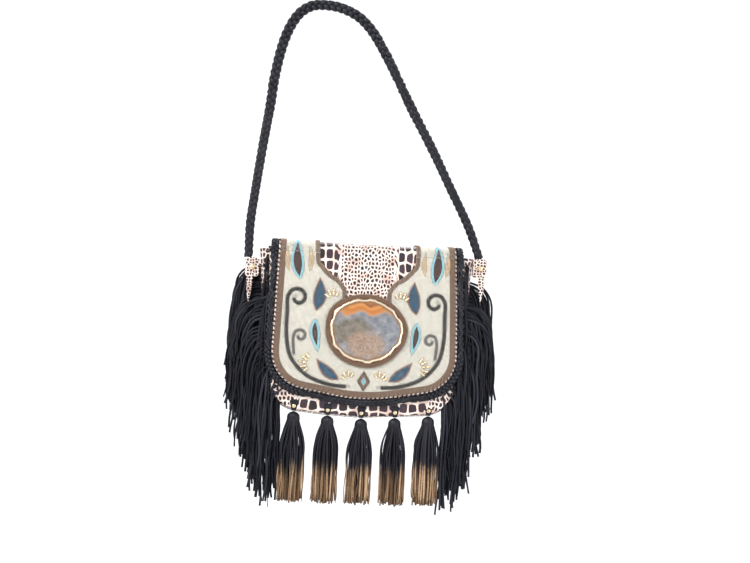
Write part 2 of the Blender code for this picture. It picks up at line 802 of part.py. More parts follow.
def strap(finish):
    """The braided strap: one loop over the shoulder, slimmer at its sewn ends."""
    line = smooth_path([(x, 0.0, z) for x, z in STRAP_ROUTE], STRAP_STATIONS)
    rings = []
    for index, point in enumerate(line):
        along = (line[min(index + 1, len(line) - 1)] - line[max(index - 1, 0)]).normalized()
        if index in (0, len(line) - 1):
            along = Vector((0.0, 0.0, 1.0 if index == 0 else -1.0))
        across = Vector((along.z, 0.0, -along.x))
        part = min(1.0, min(index, len(line) - 1 - index) / (0.3 * len(line)))
        wide = STRAP_LOW_WIDE + (STRAP_WIDE - STRAP_LOW_WIDE) * part
        ring = []
        for step in range(8):
            angle = math.radians(45 * step + 22.5)
            round_off = 1 / math.cos(math.radians(22.5))
            ring.append(point + across * wide / 2 * math.cos(angle) * round_off
                        + Vector((0, 1, 0)) * STRAP_THICK / 2 * math.sin(angle) * round_off)
        rings.append(ring)
    return add_part("strap_braid", loft(rings), finish)


def strap_end(side):
    """Lowest point of the strap on one side, from the middle of the mouth."""
    x, z = STRAP_ROUTE[0] if side < 0 else STRAP_ROUTE[-1]
    return x - BAG_X, MOUTH_Z - z


def sleeve(side, finish, stud_finish):
    """A folded leather sleeve round the strap's end, with a pointed tongue below it."""
    word = "left" if side < 0 else "right"
    end_x, end_drop = strap_end(side)
    top = end_drop + GAP
    low = top + SLEEVE_TALL
    inner = max(body_half_width(drop) + gusset_bulge(drop) for drop in (top, low)) + GAP
    outer = inner + SLEEVE_WIDE
    half = SLEEVE_THICK / 2
    block = [(inner, top + 0.004), (inner + 0.003, top), (outer - 0.003, top), (outer, top + 0.004),
             (outer - 0.001, low - 0.003), (outer - 0.004, low), (inner + 0.004, low), (inner, low - 0.003)]
    mesh = plate([(side * x, drop) for x, drop in block], -half, half)
    tongue_x = outer - TONGUE_WIDE / 2 - 0.002
    tongue = [(tongue_x - TONGUE_WIDE / 2, low - 0.010), (tongue_x + TONGUE_WIDE / 2 - 0.001, low - 0.010),
              (tongue_x + TONGUE_WIDE / 2 - 0.002, low + TONGUE_LENGTH * 0.45),
              (tongue_x, low + TONGUE_LENGTH), (tongue_x - TONGUE_WIDE / 2 + 0.002, low + TONGUE_LENGTH * 0.45)]
    tail = plate([(side * x, drop) for x, drop in tongue], -half + 0.0006, -half + TONGUE_THICK)
    whole = union(mesh, [tail])
    for vert in whole.verts:
        vert.co = place(vert.co.x, vert.co.z, -vert.co.y)
    add_part("strap_sleeve_" + word, whole, finish)
    stud_place = place(side * (inner + outer) / 2, -half - GAP, -(top + low) / 2)
    add_part("sleeve_stud_" + word, dome(stud_place, Vector((0, -1, 0)), SLEEVE_STUD_RADIUS), stud_finish)


def dome(centre, axis, radius, sides=10):
    """A rivet head: a low dome on a flat back."""
    turn = axis.to_track_quat("Z", "Y").to_matrix()
    rings = []
    for size, rise in ((1.0, 0.0), (1.0, 0.15), (0.78, 0.34), (0.40, 0.46)):
        ring = []
        for step in range(sides):
            angle = 2 * math.pi * step / sides
            spot = Vector((math.cos(angle) * size, math.sin(angle) * size, rise)) * radius
            ring.append(centre + turn @ spot)
        rings.append(ring)
    return loft(rings)


# Fringe: each comb is one strip of leather, cut into strands below its sewn band

def seam_x(drop):
    """The straight side of the seam line, as half a width."""
    return BODY_TOP_HALF + (BODY_LOW_HALF - BODY_TOP_HALF) * drop / BODY_CORNER_DROP


def comb_outline(first_drop, count, stand_off, length_seed):
    """Right-hand comb in x and drop: strands that start higher lie further out."""
    corner_drop = BODY_CORNER_DROP - BODY_CORNER_RADIUS * 0.9

    def root_x(drop):
        return seam_x(drop) + stand_off(drop)

    def base(drop):
        return root_x(min(drop, corner_drop)) + SEAM_BAND

    def lane(root, drop):
        return STRAND_LANE * ((min(drop, corner_drop) - root) / STRAND_PITCH - 1)

    folds = [-on_profile(run, PANEL_OUT - LEATHER).y for run in RUNS[FOLD_INDEX + 1:-2]]
    root_edge = [first_drop] + [fold for fold in folds if first_drop < fold < corner_drop]
    points = [Vector((root_x(drop), drop)) for drop in root_edge[::-1]]
    roots = [first_drop + STRAND_PITCH * k for k in range(count)]
    roots = [root for root in roots if root < corner_drop - STRAND_PITCH]
    for number, root in enumerate(roots):
        length = STRAND_LENGTH * (0.94 + 0.10 * math.sin(2.3 * number + length_seed))
        start = root + STRAND_PITCH * STRAND_GAP / (2 * STRAND_LANE)
        end = root + STRAND_PITCH * (1 - STRAND_GAP / (2 * STRAND_LANE))
        tip = root + length
        bend = [corner_drop] if corner_drop < tip - 0.004 else []
        for drop in [start] + bend + [tip]:
            points.append(Vector((base(drop) + lane(root, drop) + STRAND_LANE - STRAND_GAP / 2, drop)))
        for drop in [tip - 0.002] + bend + [end]:
            points.append(Vector((base(drop) + lane(root, drop) + STRAND_GAP / 2, drop)))
    corner = corner_points(stand_off, corner_drop)
    outer_line, inner_line = corner
    edge = base(corner_drop)
    for number in range(CORNER_STRANDS):
        high_x = edge - number * (STRAND_LANE + 0.0012)
        low_x = high_x - STRAND_LANE + STRAND_GAP
        tip = corner_drop + STRAND_LENGTH * (1.06 + 0.08 * math.sin(1.7 * number + length_seed))
        points.append(Vector((high_x, drop_on(outer_line, high_x))))
        points.append(Vector((high_x - 0.0006, tip - 0.003)))
        points.append(Vector((low_x + 0.0006, tip)))
        points.append(Vector((low_x, drop_on(outer_line, low_x))))
    last_x = points[-1].x
    inner = [point for point in inner_line if point.x > last_x + 0.001]
    points.append(Vector((last_x - 0.001, drop_on(outer_line, last_x - 0.001))))
    points.append(Vector((last_x - 0.001, drop_on(inner_line, last_x - 0.001))))
    return points + inner[::-1]


def corner_points(stand_off, corner_drop):
    """The two edges of the band that follows the seam line round the lower right corner."""
    seam = body_outline()
    edges = []
    for offset in (SEAM_BAND, 0.0):
        line = [point + outward(seam, index) * (offset + stand_off(point.y)) for index, point in enumerate(seam)
                if point.x > 0.05 and point.y >= corner_drop * 0.9]
        edges.append(sorted(line, key=lambda point: -point.x))
    return edges


def drop_on(line, x):
    for before, after in zip(line, line[1:]):
        if after.x <= x <= before.x:
            part = (before.x - x) / (before.x - after.x)
            return before.y + (after.y - before.y) * part
    return line[0].y if x > line[0].x else line[-1].y


def hang(mesh):
    """Stand a flat comb of x, drop and depth upright, its strips swaying a little in depth."""
    cut_at(mesh, [drop for drop, _ in SWAY[1:-1]])
    for vert in mesh.verts:
        drop, depth = vert.co.y, vert.co.z
        for (above, start), (below, end) in zip(SWAY, SWAY[1:]):
            if above <= drop <= below:
                depth += start + (end - start) * (drop - above) / (below - above)
                break
        vert.co = place(vert.co.x, depth, -drop)
    return mesh


def fringe(finish):
    def on_seam(drop):
        return GAP

    def on_gusset(drop):
        return gusset_reach(drop, -FRINGE_THICK) + GAP

    rows = (("front", on_seam, 0.4, 0.0), ("middle", on_gusset, 2.0, 0.5), ("back", on_seam, 4.1, 0.25))
    for word, stand_off, seed, phase in rows:
        for side in (-1, 1):
            first = FRINGE_TOP_DROP + phase * STRAND_PITCH + (0.012 if side > 0 else 0.0)
            if word == "middle":
                first += 0.030
            outline = comb_outline(first, SEAM_STRANDS, stand_off, seed + side)
            outline = [Vector((side * point.x, point.y)) for point in outline]
            if word == "front":
                runs = [Vector((p.x, run_at_drop(p.y, PANEL_OUT))) for p in outline]
                mesh = wrap(plate(runs, PANEL_OUT - GAP - FRINGE_THICK, PANEL_OUT - GAP))
            else:
                near = -FRINGE_THICK / 2 if word == "middle" else BACK_Y - FRINGE_THICK
                mesh = hang(plate(outline, near, near + FRINGE_THICK))
            add_part("side_fringe_{}_{}".format("left" if side < 0 else "right", word), mesh, finish)


# Front tassels

def tassel_x(number):
    return (number - (TASSEL_COUNT + 1) / 2) * TASSEL_SPACING


def body_edge_drop(x):
    """Drop of the body's lower edge at a place across it."""
    line = [point for point in body_outline() if point.x >= 0 and point.y > BODY_CORNER_DROP * 0.8]
    line.sort(key=lambda point: -point.x)
    return drop_on(line, abs(x))


def tassel(number, finishes):
    x = tassel_x(number)
    edge = body_edge_drop(x)
    foot = edge + TAB_BELOW_EDGE
    level = PANEL_OUT + GAP
    top = edge - (BODY_DROP - TAB_TOP_DROP)
    outline = [(x - TAB_TOP_WIDE / 2, top + 0.003), (x - TAB_TOP_WIDE / 2 + 0.003, top),
               (x + TAB_TOP_WIDE / 2 - 0.003, top), (x + TAB_TOP_WIDE / 2, top + 0.003),
               (x + TAB_LOW_WIDE / 2, foot), (x - TAB_LOW_WIDE / 2, foot)]
    outline = [(px, run_at_drop(drop, level)) for px, drop in outline]
    add_part(f"tassel_tab_{number}", wrap(plate(outline, level, level + TAB_THICK)), finishes["black_leather"])
    stud_drop = edge - TASSEL_STUD_RISE
    stud_out = level + TAB_THICK + GAP
    face = on_profile(run_at_drop(stud_drop, stud_out), stud_out)
    stud = dome(place(x, face.x, face.y), Vector((0, -1, 0)), TASSEL_STUD_RADIUS)
    add_part(f"tassel_stud_{number}", stud, finishes["gold_metal"])
    pivot = place(x, front_y(foot, level) - TAB_THICK / 2, -foot)
    tassel_head(number, pivot, finishes["black_leather"])
    tassel_strands(number, pivot, MOUTH_Z - TASSEL_END_DROP, finishes["tassel_leather"])


def tassel_head(number, pivot, finish):
    """The bound head: a shoulder that narrows to the tab, over the turns of its binding."""
    shape = [(0.10, 0.0006), (0.42, 0.0045), (0.78, 0.0100), (0.92, 0.0150), (1.0, 0.0170),
             (0.92, 0.0190), (1.0, 0.0215), (0.93, HEAD_TALL)]
    rings = []
    for size, drop in shape:
        ring = []
        for step in range(8):
            angle = 2 * math.pi * step / 8
            ring.append(pivot + Vector((math.cos(angle) * HEAD_HALF_X * size,
                                        math.sin(angle) * HEAD_HALF_X * HEAD_FLATTEN * size, -drop)))
        rings.append(ring)
    return add_part(f"tassel_head_{number}", loft(rings), finish, pivot)


def cut_strip(strips, thick):
    """A strip cut into fringe: each strip's rungs downwards, joined to the next by the uncut top."""
    mesh = bmesh.new()
    rungs = [[[mesh.verts.new((*point, 0.0)) for point in rung] for rung in strip] for strip in strips]
    for strip in rungs:
        for high, low in zip(strip, strip[1:]):
            mesh.faces.new((high[0], high[1], low[1], low[0]))
    for here, there in zip(rungs, rungs[1:]):
        mesh.faces.new((here[0][1], there[0][0], there[1][0], here[1][1]))
    bmesh.ops.triangulate(mesh, faces=mesh.faces)
    lid = bmesh.ops.extrude_face_region(mesh, geom=mesh.faces[:])
    top = [item for item in lid["geom"] if isinstance(item, bmesh.types.BMVert)]
    bmesh.ops.translate(mesh, vec=(0, 0, thick), verts=top)
    return mesh


def tassel_strands(number, pivot, end_height, finish):
    """A cut strip rolled into a ring under the head, spreading towards its ends."""
    total = pivot.z - HEAD_TALL - GAP - end_height
    lane = 1.0 / TASSEL_STRANDS
    slit = lane * 0.10
    strips = []
    for strand in range(TASSEL_STRANDS):
        left = strand * lane + slit / 2
        right = left + lane - slit
        length = total * (0.95 + 0.05 * math.sin(2.1 * strand + number))
        strips.append([[(left, drop), (right, drop)] for drop in (0.0, TASSEL_HEADER, total * 0.5)]
                      + [[(left, length), (right, length - 0.002)]])
    mesh = cut_strip(strips, TASSEL_STRIP_THICK)
    for vert in mesh.verts:
        around, drop, out = vert.co
        part = drop / total
        half_x = HEAD_HALF_X * 0.9 + (TASSEL_FOOT_HALF_X - HEAD_HALF_X * 0.9) * part ** 0.7
        half_y = half_x * (HEAD_FLATTEN - 0.12 * part)
        angle = 2 * math.pi * around
        vert.co = pivot + Vector((math.cos(angle) * (half_x - out), math.sin(angle) * (half_y - out),
                                  -HEAD_TALL - GAP - drop))
    return add_part(f"tassel_strands_{number}", mesh, finish, pivot)


def make_finishes():
    return {
        "croc_leather": material("croc print leather", (0.80, 0.70, 0.66), 0.42),
        "black_leather": material("black leather", (0.020, 0.021, 0.028), 0.50),
        "tassel_leather": material("black leather with gilded ends", (0.06, 0.045, 0.035), 0.50),
        "suede": material("suede", (0.10, 0.075, 0.065), 0.90),
        "fabric": material("lining cloth", (0.34, 0.27, 0.22), 0.85),
        "gold_metal": material("gold studs", (0.83, 0.64, 0.36), 0.25, 1.0),
        "ivory_bead": material("ivory beads", (0.74, 0.73, 0.66), 0.30),
        "copper_bead": material("copper beads", (0.36, 0.24, 0.17), 0.30, 0.4),
        "agate": material("agate", (0.56, 0.48, 0.42), 0.12),
    }


def main():
    clear_scene()
    finishes = make_finishes()
    front_panel(finishes["croc_leather"])
    back_panel(finishes["croc_leather"])
    gusset(finishes["croc_leather"])
    lining(finishes["fabric"])
    socket_low = PANEL_OUT + GAP
    disc("snap_socket", SNAP_RUN, SNAP_RADIUS, socket_low, socket_low + SNAP_THICK, finishes["gold_metal"])
    strap(finishes["black_leather"])
    for side in (-1, 1):
        sleeve(side, finishes["croc_leather"], finishes["gold_metal"])
    fringe(finishes["black_leather"])
    for number in range(1, TASSEL_COUNT + 1):
        tassel(number, finishes)
    hinge = place(0.0, BACK_Y, 0.0)
    flap(finishes, hinge)


main()
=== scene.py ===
# %% [markdown]
# A fringed shoulder bag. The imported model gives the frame: every piece below is made in its
# coordinates, in metres, +Z up, with the origin under the top of the strap's loop. The bag's own
# middle is the middle of its mouth, and most pieces are laid out from there.

# %% Load the frame
import math

import bmesh
import bpy
import numpy as np
from mathutils import Matrix, Vector


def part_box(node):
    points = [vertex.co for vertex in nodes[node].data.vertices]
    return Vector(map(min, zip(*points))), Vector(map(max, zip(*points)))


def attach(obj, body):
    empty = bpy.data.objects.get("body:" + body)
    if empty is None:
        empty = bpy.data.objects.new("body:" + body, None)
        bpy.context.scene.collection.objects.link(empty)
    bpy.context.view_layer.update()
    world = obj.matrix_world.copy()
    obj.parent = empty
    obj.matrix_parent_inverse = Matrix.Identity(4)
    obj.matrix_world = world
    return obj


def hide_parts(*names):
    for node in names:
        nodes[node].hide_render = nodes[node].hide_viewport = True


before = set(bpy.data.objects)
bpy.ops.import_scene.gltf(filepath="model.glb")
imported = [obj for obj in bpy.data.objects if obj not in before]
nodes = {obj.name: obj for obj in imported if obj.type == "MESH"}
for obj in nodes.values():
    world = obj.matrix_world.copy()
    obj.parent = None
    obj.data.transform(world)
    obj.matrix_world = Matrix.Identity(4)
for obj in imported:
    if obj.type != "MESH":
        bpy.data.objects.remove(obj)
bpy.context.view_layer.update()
scene = bpy.context.scene


def add_object(name, data):
    made = bpy.data.objects.new(name, data)
    scene.collection.objects.link(made)
    return made


# %% [markdown]
# The camera stands level with the bag and a little to its left, and is turned by three degrees,
# so that the bag leans to the right in the picture.

# %% Camera
AIM = Vector((0.103, -0.048, -0.446))
camera_distance, camera_azimuth, camera_elevation, camera_roll = 2.2, -6.0, 1.5, 3.0
turn, rise = math.radians(camera_azimuth), math.radians(camera_elevation)
level = math.cos(rise)
stand = AIM + camera_distance * Vector((math.sin(turn) * level, -math.cos(turn) * level, math.sin(rise)))
camera_data = bpy.data.cameras.new("camera")
camera_data.angle = math.radians(31.4)
camera_data.clip_end = 50
camera = add_object("camera", camera_data)
look = (AIM - stand).to_track_quat("-Z", "Y").to_matrix().to_4x4()
camera.matrix_world = Matrix.Translation(stand) @ look @ Matrix.Rotation(math.radians(camera_roll), 4, "Z")
scene.camera = camera
print("camera at", tuple(round(c, 3) for c in stand))

# %% [markdown]
# A strong soft panel from the left, a weaker one from the right and a pale room keep the cream
# bright and the black leather deep. The floor lies well below the bag, which hangs from its strap.

# %% Light and stage
def lamp(name, place, size, power, warmth):
    data = bpy.data.lights.new(name, "AREA")
    data.shape = "DISK"
    data.size = size
    data.energy = power
    data.color = warmth
    light = add_object(name, data)
    light.location = place
    light.rotation_euler = (AIM - Vector(place)).to_track_quat("-Z", "Y").to_euler()


scene.view_settings.view_transform = "Standard"
lamp("key", (-1.1, -1.9, 0.9), 1.1, 58, (1.0, 0.985, 0.96))
lamp("fill", (1.8, -1.6, -0.1), 1.6, 20, (0.96, 0.98, 1.0))
lamp("rim", (0.6, 1.3, 1.0), 1.0, 18, (1.0, 1.0, 1.0))
world = bpy.data.worlds.new("room")
scene.world = world
world.use_nodes = True
world.node_tree.nodes["Background"].inputs["Color"].default_value = (0.93, 0.95, 1.0, 1)
world.node_tree.nodes["Background"].inputs["Strength"].default_value = 0.95

# %% [markdown]
# A few small helpers carry the whole file. One makes an object from arrays of points and faces,
# with any named values that a material reads later. One joins an outer and an inner grid into a
# closed wall, as leather is, and one does the same for rings. The last hands a finished piece to
# its moving body.

# %% Mesh helpers
def add_fields(mesh, values):
    """Named values on the points of a mesh: one number each, or three."""
    for title, data in values.items():
        data = np.concatenate(data) if isinstance(data, list) else np.asarray(data, float)
        kind, slot = ("FLOAT", "value") if data.ndim == 1 else ("FLOAT_VECTOR", "vector")
        mesh.attributes.new(title, kind, "POINT").data.foreach_set(slot, data.ravel())


def piece(name, points, faces, values=None):
    mesh = bpy.data.meshes.new(name)
    mesh.from_pydata(np.asarray(points, float).tolist(), [], [list(map(int, f)) for f in faces])
    add_fields(mesh, values or {})
    made = add_object(name, mesh)
    if faces:
        mesh.shade_smooth()
    return made


def wall(name, outer, inner, values=None):
    """A closed sheet between two grids of points of the same shape, rows by columns."""
    rows, columns = outer.shape[:2]
    index = np.arange(rows * columns).reshape(rows, columns)
    other = index + rows * columns
    faces = []
    for grid, flip in ((index, False), (other, True)):
        quads = np.stack([grid[:-1, :-1], grid[:-1, 1:], grid[1:, 1:], grid[1:, :-1]], -1).reshape(-1, 4)
        faces += (quads[:, ::-1] if flip else quads).tolist()
    rim = np.concatenate([index[0, :-1], index[:-1, -1], index[-1, :0:-1], index[:0:-1, 0]])
    for a, b in zip(rim, np.roll(rim, -1)):
        faces.append([b, a, a + rows * columns, b + rows * columns])
    points = np.concatenate([outer.reshape(-1, 3), inner.reshape(-1, 3)])
    doubled = {key: np.concatenate([field.reshape(rows * columns, -1)] * 2).squeeze()
               for key, field in (values or {}).items()}
    made = piece(name, points, faces, doubled)
    outward_faces(made)
    return made


def closed_rings(name, rings, values=None, tube=False):
    """A skin over rings of points, capped at both ends, or joined end to end as a tube."""
    rings = np.array(rings)
    count, around_ring = rings.shape[:2]
    index = np.arange(count * around_ring).reshape(count, around_ring)
    last = index if tube else index[:-1]
    following = np.roll(index, -1, 0) if tube else index[1:]
    faces = np.stack([last, np.roll(last, -1, 1), np.roll(following, -1, 1), following], -1)
    faces = faces.reshape(-1, 4).tolist()
    if not tube:
        faces += [index[0].tolist()[::-1], index[-1].tolist()]
    made = piece(name, rings.reshape(-1, 3), faces, values)
    outward_faces(made)
    return made


def outward_faces(made):
    mesh = bmesh.new()
    mesh.from_mesh(made.data)
    bmesh.ops.recalc_face_normals(mesh, faces=mesh.faces)
    if mesh.calc_volume(signed=True) < 0:
        bmesh.ops.reverse_faces(mesh, faces=mesh.faces)
    mesh.to_mesh(made.data)
    mesh.free()


def bake(made):
    """Put what an object's modifiers make of it into its own mesh."""
    bpy.context.view_layer.update()
    graph = bpy.context.evaluated_depsgraph_get()
    made_mesh = bpy.data.meshes.new_from_object(made.evaluated_get(graph), depsgraph=graph)
    made.modifiers.clear()
    made.data = made_mesh
    made_mesh.name = made.name


def paint(made, finish):
    made.data.materials.clear()
    made.data.materials.append(finish)


def dress(made, body, finish, slot, *replaced):
    paint(made, finish)
    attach(made, body)
    if replaced:
        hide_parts(*replaced)
    print(made.name, "on", body, len(made.data.polygons), "faces")
    return made


def floor_and_backdrop():
    arc = [(1.5 + 0.8 * math.sin(a), -0.55 - 0.8 * math.cos(a)) for a in np.linspace(math.pi / 2, 0, 12)]
    line = [(2.3, 2.2)] + arc + [(-3.0, -1.35)]
    points = [(x, y, z) for y, z in line for x in (-4.0, 4.0)]
    faces = [(2 * k, 2 * k + 1, 2 * k + 3, 2 * k + 2) for k in range(len(line) - 1)]
    return piece("backdrop", points, faces)


# %% [markdown]
# Shader sums read like sums: one class wraps a socket, and adding, taking away, multiplying or
# dividing two of them puts the Math node there. Every other node comes from a single method, which
# takes the node's type, its settings and its inputs.

# %% Shader helpers
class Value:
    def __init__(self, finish, socket):
        self.finish, self.socket = finish, socket

    def maths(self, operation, first, second=0.0):
        return self.finish.node("ShaderNodeMath", {"operation": operation}, {0: first, 1: second})

    def __add__(self, other):
        return self.maths("ADD", self, other)

    def __sub__(self, other):
        return self.maths("SUBTRACT", self, other)

    def __rsub__(self, other):
        return self.maths("SUBTRACT", other, self)

    def __mul__(self, other):
        return self.maths("MULTIPLY", self, other)

    def __truediv__(self, other):
        return self.maths("DIVIDE", self, other)

    def __pow__(self, other):
        return self.maths("POWER", self, other)

    __radd__ = __add__


class Finish:
    """A material built from one Principled shader."""

    def __init__(self, name, **constants):
        self.material = bpy.data.materials.new(name)
        self.material.use_nodes = True
        self.tree = self.material.node_tree
        self.shader = self.tree.nodes["Principled BSDF"]
        for title, amount in constants.items():
            self.shader.inputs[title.replace("_", " ")].default_value = amount

    def node(self, kind, settings=None, inputs=None, out=0):
        made = self.tree.nodes.new(kind)
        for title, choice in (settings or {}).items():
            if title == "stops":
                ramp = made.color_ramp
                while len(ramp.elements) < len(choice):
                    ramp.elements.new(0.5)
                for element, (position, colour) in zip(ramp.elements, choice):
                    element.position = position
                    element.color = (*colour, 1.0)
            else:
                setattr(made, title, choice)
        for title, amount in (inputs or {}).items():
            self.feed(made.inputs[title], amount)
        return Value(self, made.outputs[out])

    def feed(self, socket, amount):
        if isinstance(amount, Value):
            self.tree.links.new(amount.socket, socket)
        elif isinstance(amount, tuple) and len(amount) == 3 and socket.type == "RGBA":
            socket.default_value = (*amount, 1.0)
        else:
            socket.default_value = amount

    def give(self, title, amount):
        self.feed(self.shader.inputs[title], amount)

    def place(self):
        return self.node("ShaderNodeTexCoord", out=3)

    def field(self, title, out=0):
        return self.node("ShaderNodeAttribute", {"attribute_name": title}, out=out)

    def noise(self, scale, detail=3.0, vector=None, rough=0.5):
        inputs = {"Vector": vector or self.place(), "Scale": scale, "Detail": detail, "Roughness": rough}
        return self.node("ShaderNodeTexNoise", None, inputs)

    def mix(self, factor, first, second):
        return self.node("ShaderNodeMix", {"data_type": "RGBA"}, {0: factor, 6: first, 7: second}, 2)

    def ramp(self, value, *stops):
        return self.node("ShaderNodeValToRGB", {"stops": stops}, {0: value})

    def step(self, value, low, high):
        return self.node("ShaderNodeMapRange", {"interpolation_type": "SMOOTHSTEP"},
                         {"Value": value, "From Min": low, "From Max": high})

    def bump(self, height, distance, strength=1.0):
        self.give("Normal", self.node("ShaderNodeBump", None,
                                      {"Height": height, "Distance": distance, "Strength": strength}))


stage_finish = Finish("pale backdrop", Base_Color=(0.86, 0.86, 0.85, 1), Roughness=0.9)
backdrop = floor_and_backdrop()
backdrop.data.materials.append(stage_finish.material)

# %% [markdown]
# The leather with the scale print: cells of dark brown, each a little raised, on cream and pink.
# Every leather piece carries a value named print: its place in cells, and how broad the light
# lines between the cells are there. A Voronoi texture's distance to its edges draws the cells.

# %% Printed leather
def printed_leather():
    finish = Finish("scale print leather", Specular_IOR_Level=0.45)
    spot = finish.field("print", 1)
    edge = finish.node("ShaderNodeSeparateXYZ", None, {0: spot}, 2)
    wander = finish.noise(1.7, 2.0, spot)
    loose = finish.node("ShaderNodeMapRange", None, {"Value": edge, "From Min": 0.06, "From Max": 0.16,
                                                     "To Min": 0.30, "To Max": 0.85})
    cells = {"Vector": spot, "Scale": 1.0, "Randomness": loose}
    settings = {"voronoi_dimensions": "2D"}
    gap = finish.node("ShaderNodeTexVoronoi", dict(settings, feature="DISTANCE_TO_EDGE"), cells)
    reach = finish.node("ShaderNodeTexVoronoi", dict(settings, feature="F1"), cells)
    tone = finish.node("ShaderNodeTexVoronoi", dict(settings, feature="F1"), cells, 1)
    tone = finish.node("ShaderNodeSeparateColor", None, {0: tone})
    corner = reach.maths("MAXIMUM", reach - 0.42, 0.0)
    ragged = gap + (wander - 0.5) * 0.10 - corner * 0.55
    inside = finish.node("ShaderNodeMapRange", {"interpolation_type": "SMOOTHSTEP"},
                         {"Value": ragged, "From Min": edge, "From Max": edge + 0.035})
    light = finish.ramp(finish.noise(60, 3.0), (0.3, (0.55, 0.38, 0.32)), (0.55, (0.80, 0.66, 0.58)),
                        (0.8, (0.88, 0.79, 0.72)))
    dark = finish.ramp(tone, (0.0, (0.007, 0.004, 0.006)), (1.0, (0.048, 0.026, 0.036)))
    finish.give("Base Color", finish.mix(inside, light, dark))
    finish.give("Roughness", 0.50 - inside * 0.16)
    finish.bump(inside + finish.noise(900, 2.0) * 0.15, 0.0006, 0.6)
    return finish.material


# %% [markdown]
# Black leather is never quite black: a fine grain breaks its shine, and it has a cold cast. The
# cut strands are the flesh side of the same skin, duller, and each differs a little from the next.

# %% Black leather
def black_leather(name, rough, grain):
    finish = Finish(name, Specular_IOR_Level=0.26)
    patches = finish.noise(45, 3.0)
    shade = finish.ramp(patches, (0.3, (0.0045, 0.0047, 0.0075)), (0.7, (0.0125, 0.013, 0.019)))
    finish.give("Base Color", shade)
    finish.give("Roughness", rough + (finish.noise(160, 2.0) - 0.5) * 0.25)
    pores = finish.node("ShaderNodeTexVoronoi", {"feature": "F1"},
                        {"Vector": finish.place(), "Scale": grain})
    finish.bump(pores + finish.noise(grain * 0.5, 3.0), 0.00025, 0.55)
    return finish.material


def strand_leather():
    finish = Finish("cut black leather", Specular_IOR_Level=0.20)
    shade = finish.field("shade", 2)
    tone = finish.ramp(shade, (0.0, (0.0030, 0.0032, 0.0050)), (0.6, (0.0085, 0.0090, 0.0140)),
                       (1.0, (0.024, 0.025, 0.034)))
    finish.give("Base Color", tone)
    finish.give("Roughness", 0.52 + (finish.noise(220, 2.0) - 0.5) * 0.3)
    finish.bump(finish.noise(700, 3.0), 0.0003, 0.5)
    return finish.material


# %% [markdown]
# The tassels are dipped: black down to two thirds, then rubbed with gold, with a ragged border
# and darker tips. The strand's own length, kept on its points, carries the change.

# %% Tassel leather
def tassel_leather():
    finish = Finish("dipped tassel leather", Specular_IOR_Level=0.22)
    length = finish.field("length", 2)
    shade = finish.field("shade", 2)
    ragged = length + (shade - 0.5) * 0.14 + (finish.noise(260, 3.0) - 0.5) * 0.12
    dipped = finish.step(ragged, 0.50, 0.74)
    tip = finish.step(ragged, 0.93, 1.04)
    black = finish.ramp(shade, (0.0, (0.0035, 0.0036, 0.0055)), (1.0, (0.018, 0.018, 0.025)))
    gold = finish.ramp(shade * 0.6 + finish.noise(300, 2.0) * 0.4, (0.2, (0.070, 0.040, 0.022)),
                       (0.5, (0.215, 0.128, 0.070)), (0.85, (0.50, 0.335, 0.200)))
    brown = finish.mix(tip * 0.75, gold, (0.04, 0.024, 0.015))
    finish.give("Base Color", finish.mix(dipped, black, brown))
    finish.give("Roughness", 0.55 - dipped * 0.08)
    finish.give("Metallic", dipped * 0.25)
    finish.bump(finish.noise(700, 3.0), 0.0003, 0.5)
    return finish.material


# %% [markdown]
# Beads are glass: each takes its colour from a value on its own points, so one finish serves
# them all. The cloth that they are sewn to shows as a dark line between the rows; its dark
# colour is partly the cloth and partly painted shade in the gaps between the beads.

# %% Beads, thread, metal, cloth
def bead_glass():
    finish = Finish("bead glass", Roughness=0.24, Specular_IOR_Level=0.5, Coat_Weight=0.25,
                    Coat_Roughness=0.12)
    tint = finish.field("tint", 1)
    cloudy = finish.noise(500, 1.0)
    finish.give("Base Color", finish.mix(cloudy * 0.10, tint, (0.25, 0.24, 0.22)))
    finish.give("Metallic", finish.field("metal", 2))
    return finish.material


def sewn_ground(name, low, high):
    finish = Finish(name, Roughness=0.85)
    threads = finish.node("ShaderNodeTexWave", {"bands_direction": "DIAGONAL"},
                          {"Vector": finish.place(), "Scale": 190.0, "Distortion": 3.0})
    finish.give("Base Color", finish.mix(threads, low, high))
    finish.bump(threads, 0.0003, 0.6)
    return finish.material


def gilt(name, colour, rough):
    finish = Finish(name, Metallic=1.0)
    wear = finish.noise(140, 3.0)
    finish.give("Base Color", finish.mix(wear, colour, tuple(c * 0.72 for c in colour)))
    finish.give("Roughness", rough + (wear - 0.5) * 0.25)
    finish.bump(wear, 0.0003, 0.3)
    return finish.material


def suede():
    finish = Finish("brown suede", Roughness=0.95, Specular_IOR_Level=0.2)
    nap = finish.noise(420, 4.0)
    finish.give("Base Color", finish.ramp(nap, (0.3, (0.055, 0.038, 0.032)), (0.7, (0.115, 0.085, 0.072))))
    finish.bump(nap, 0.0005, 0.5)
    return finish.material


def woven_cloth():
    finish = Finish("lining cloth", Roughness=0.85)
    weave = [finish.node("ShaderNodeTexWave", {"bands_direction": way},
                         {"Vector": finish.place(), "Scale": 320.0}) for way in ("X", "Z")]
    cross = weave[0] * weave[1]
    finish.give("Base Color", finish.mix(cross, (0.20, 0.15, 0.12), (0.40, 0.32, 0.26)))
    finish.bump(cross, 0.0003, 0.6)
    return finish.material


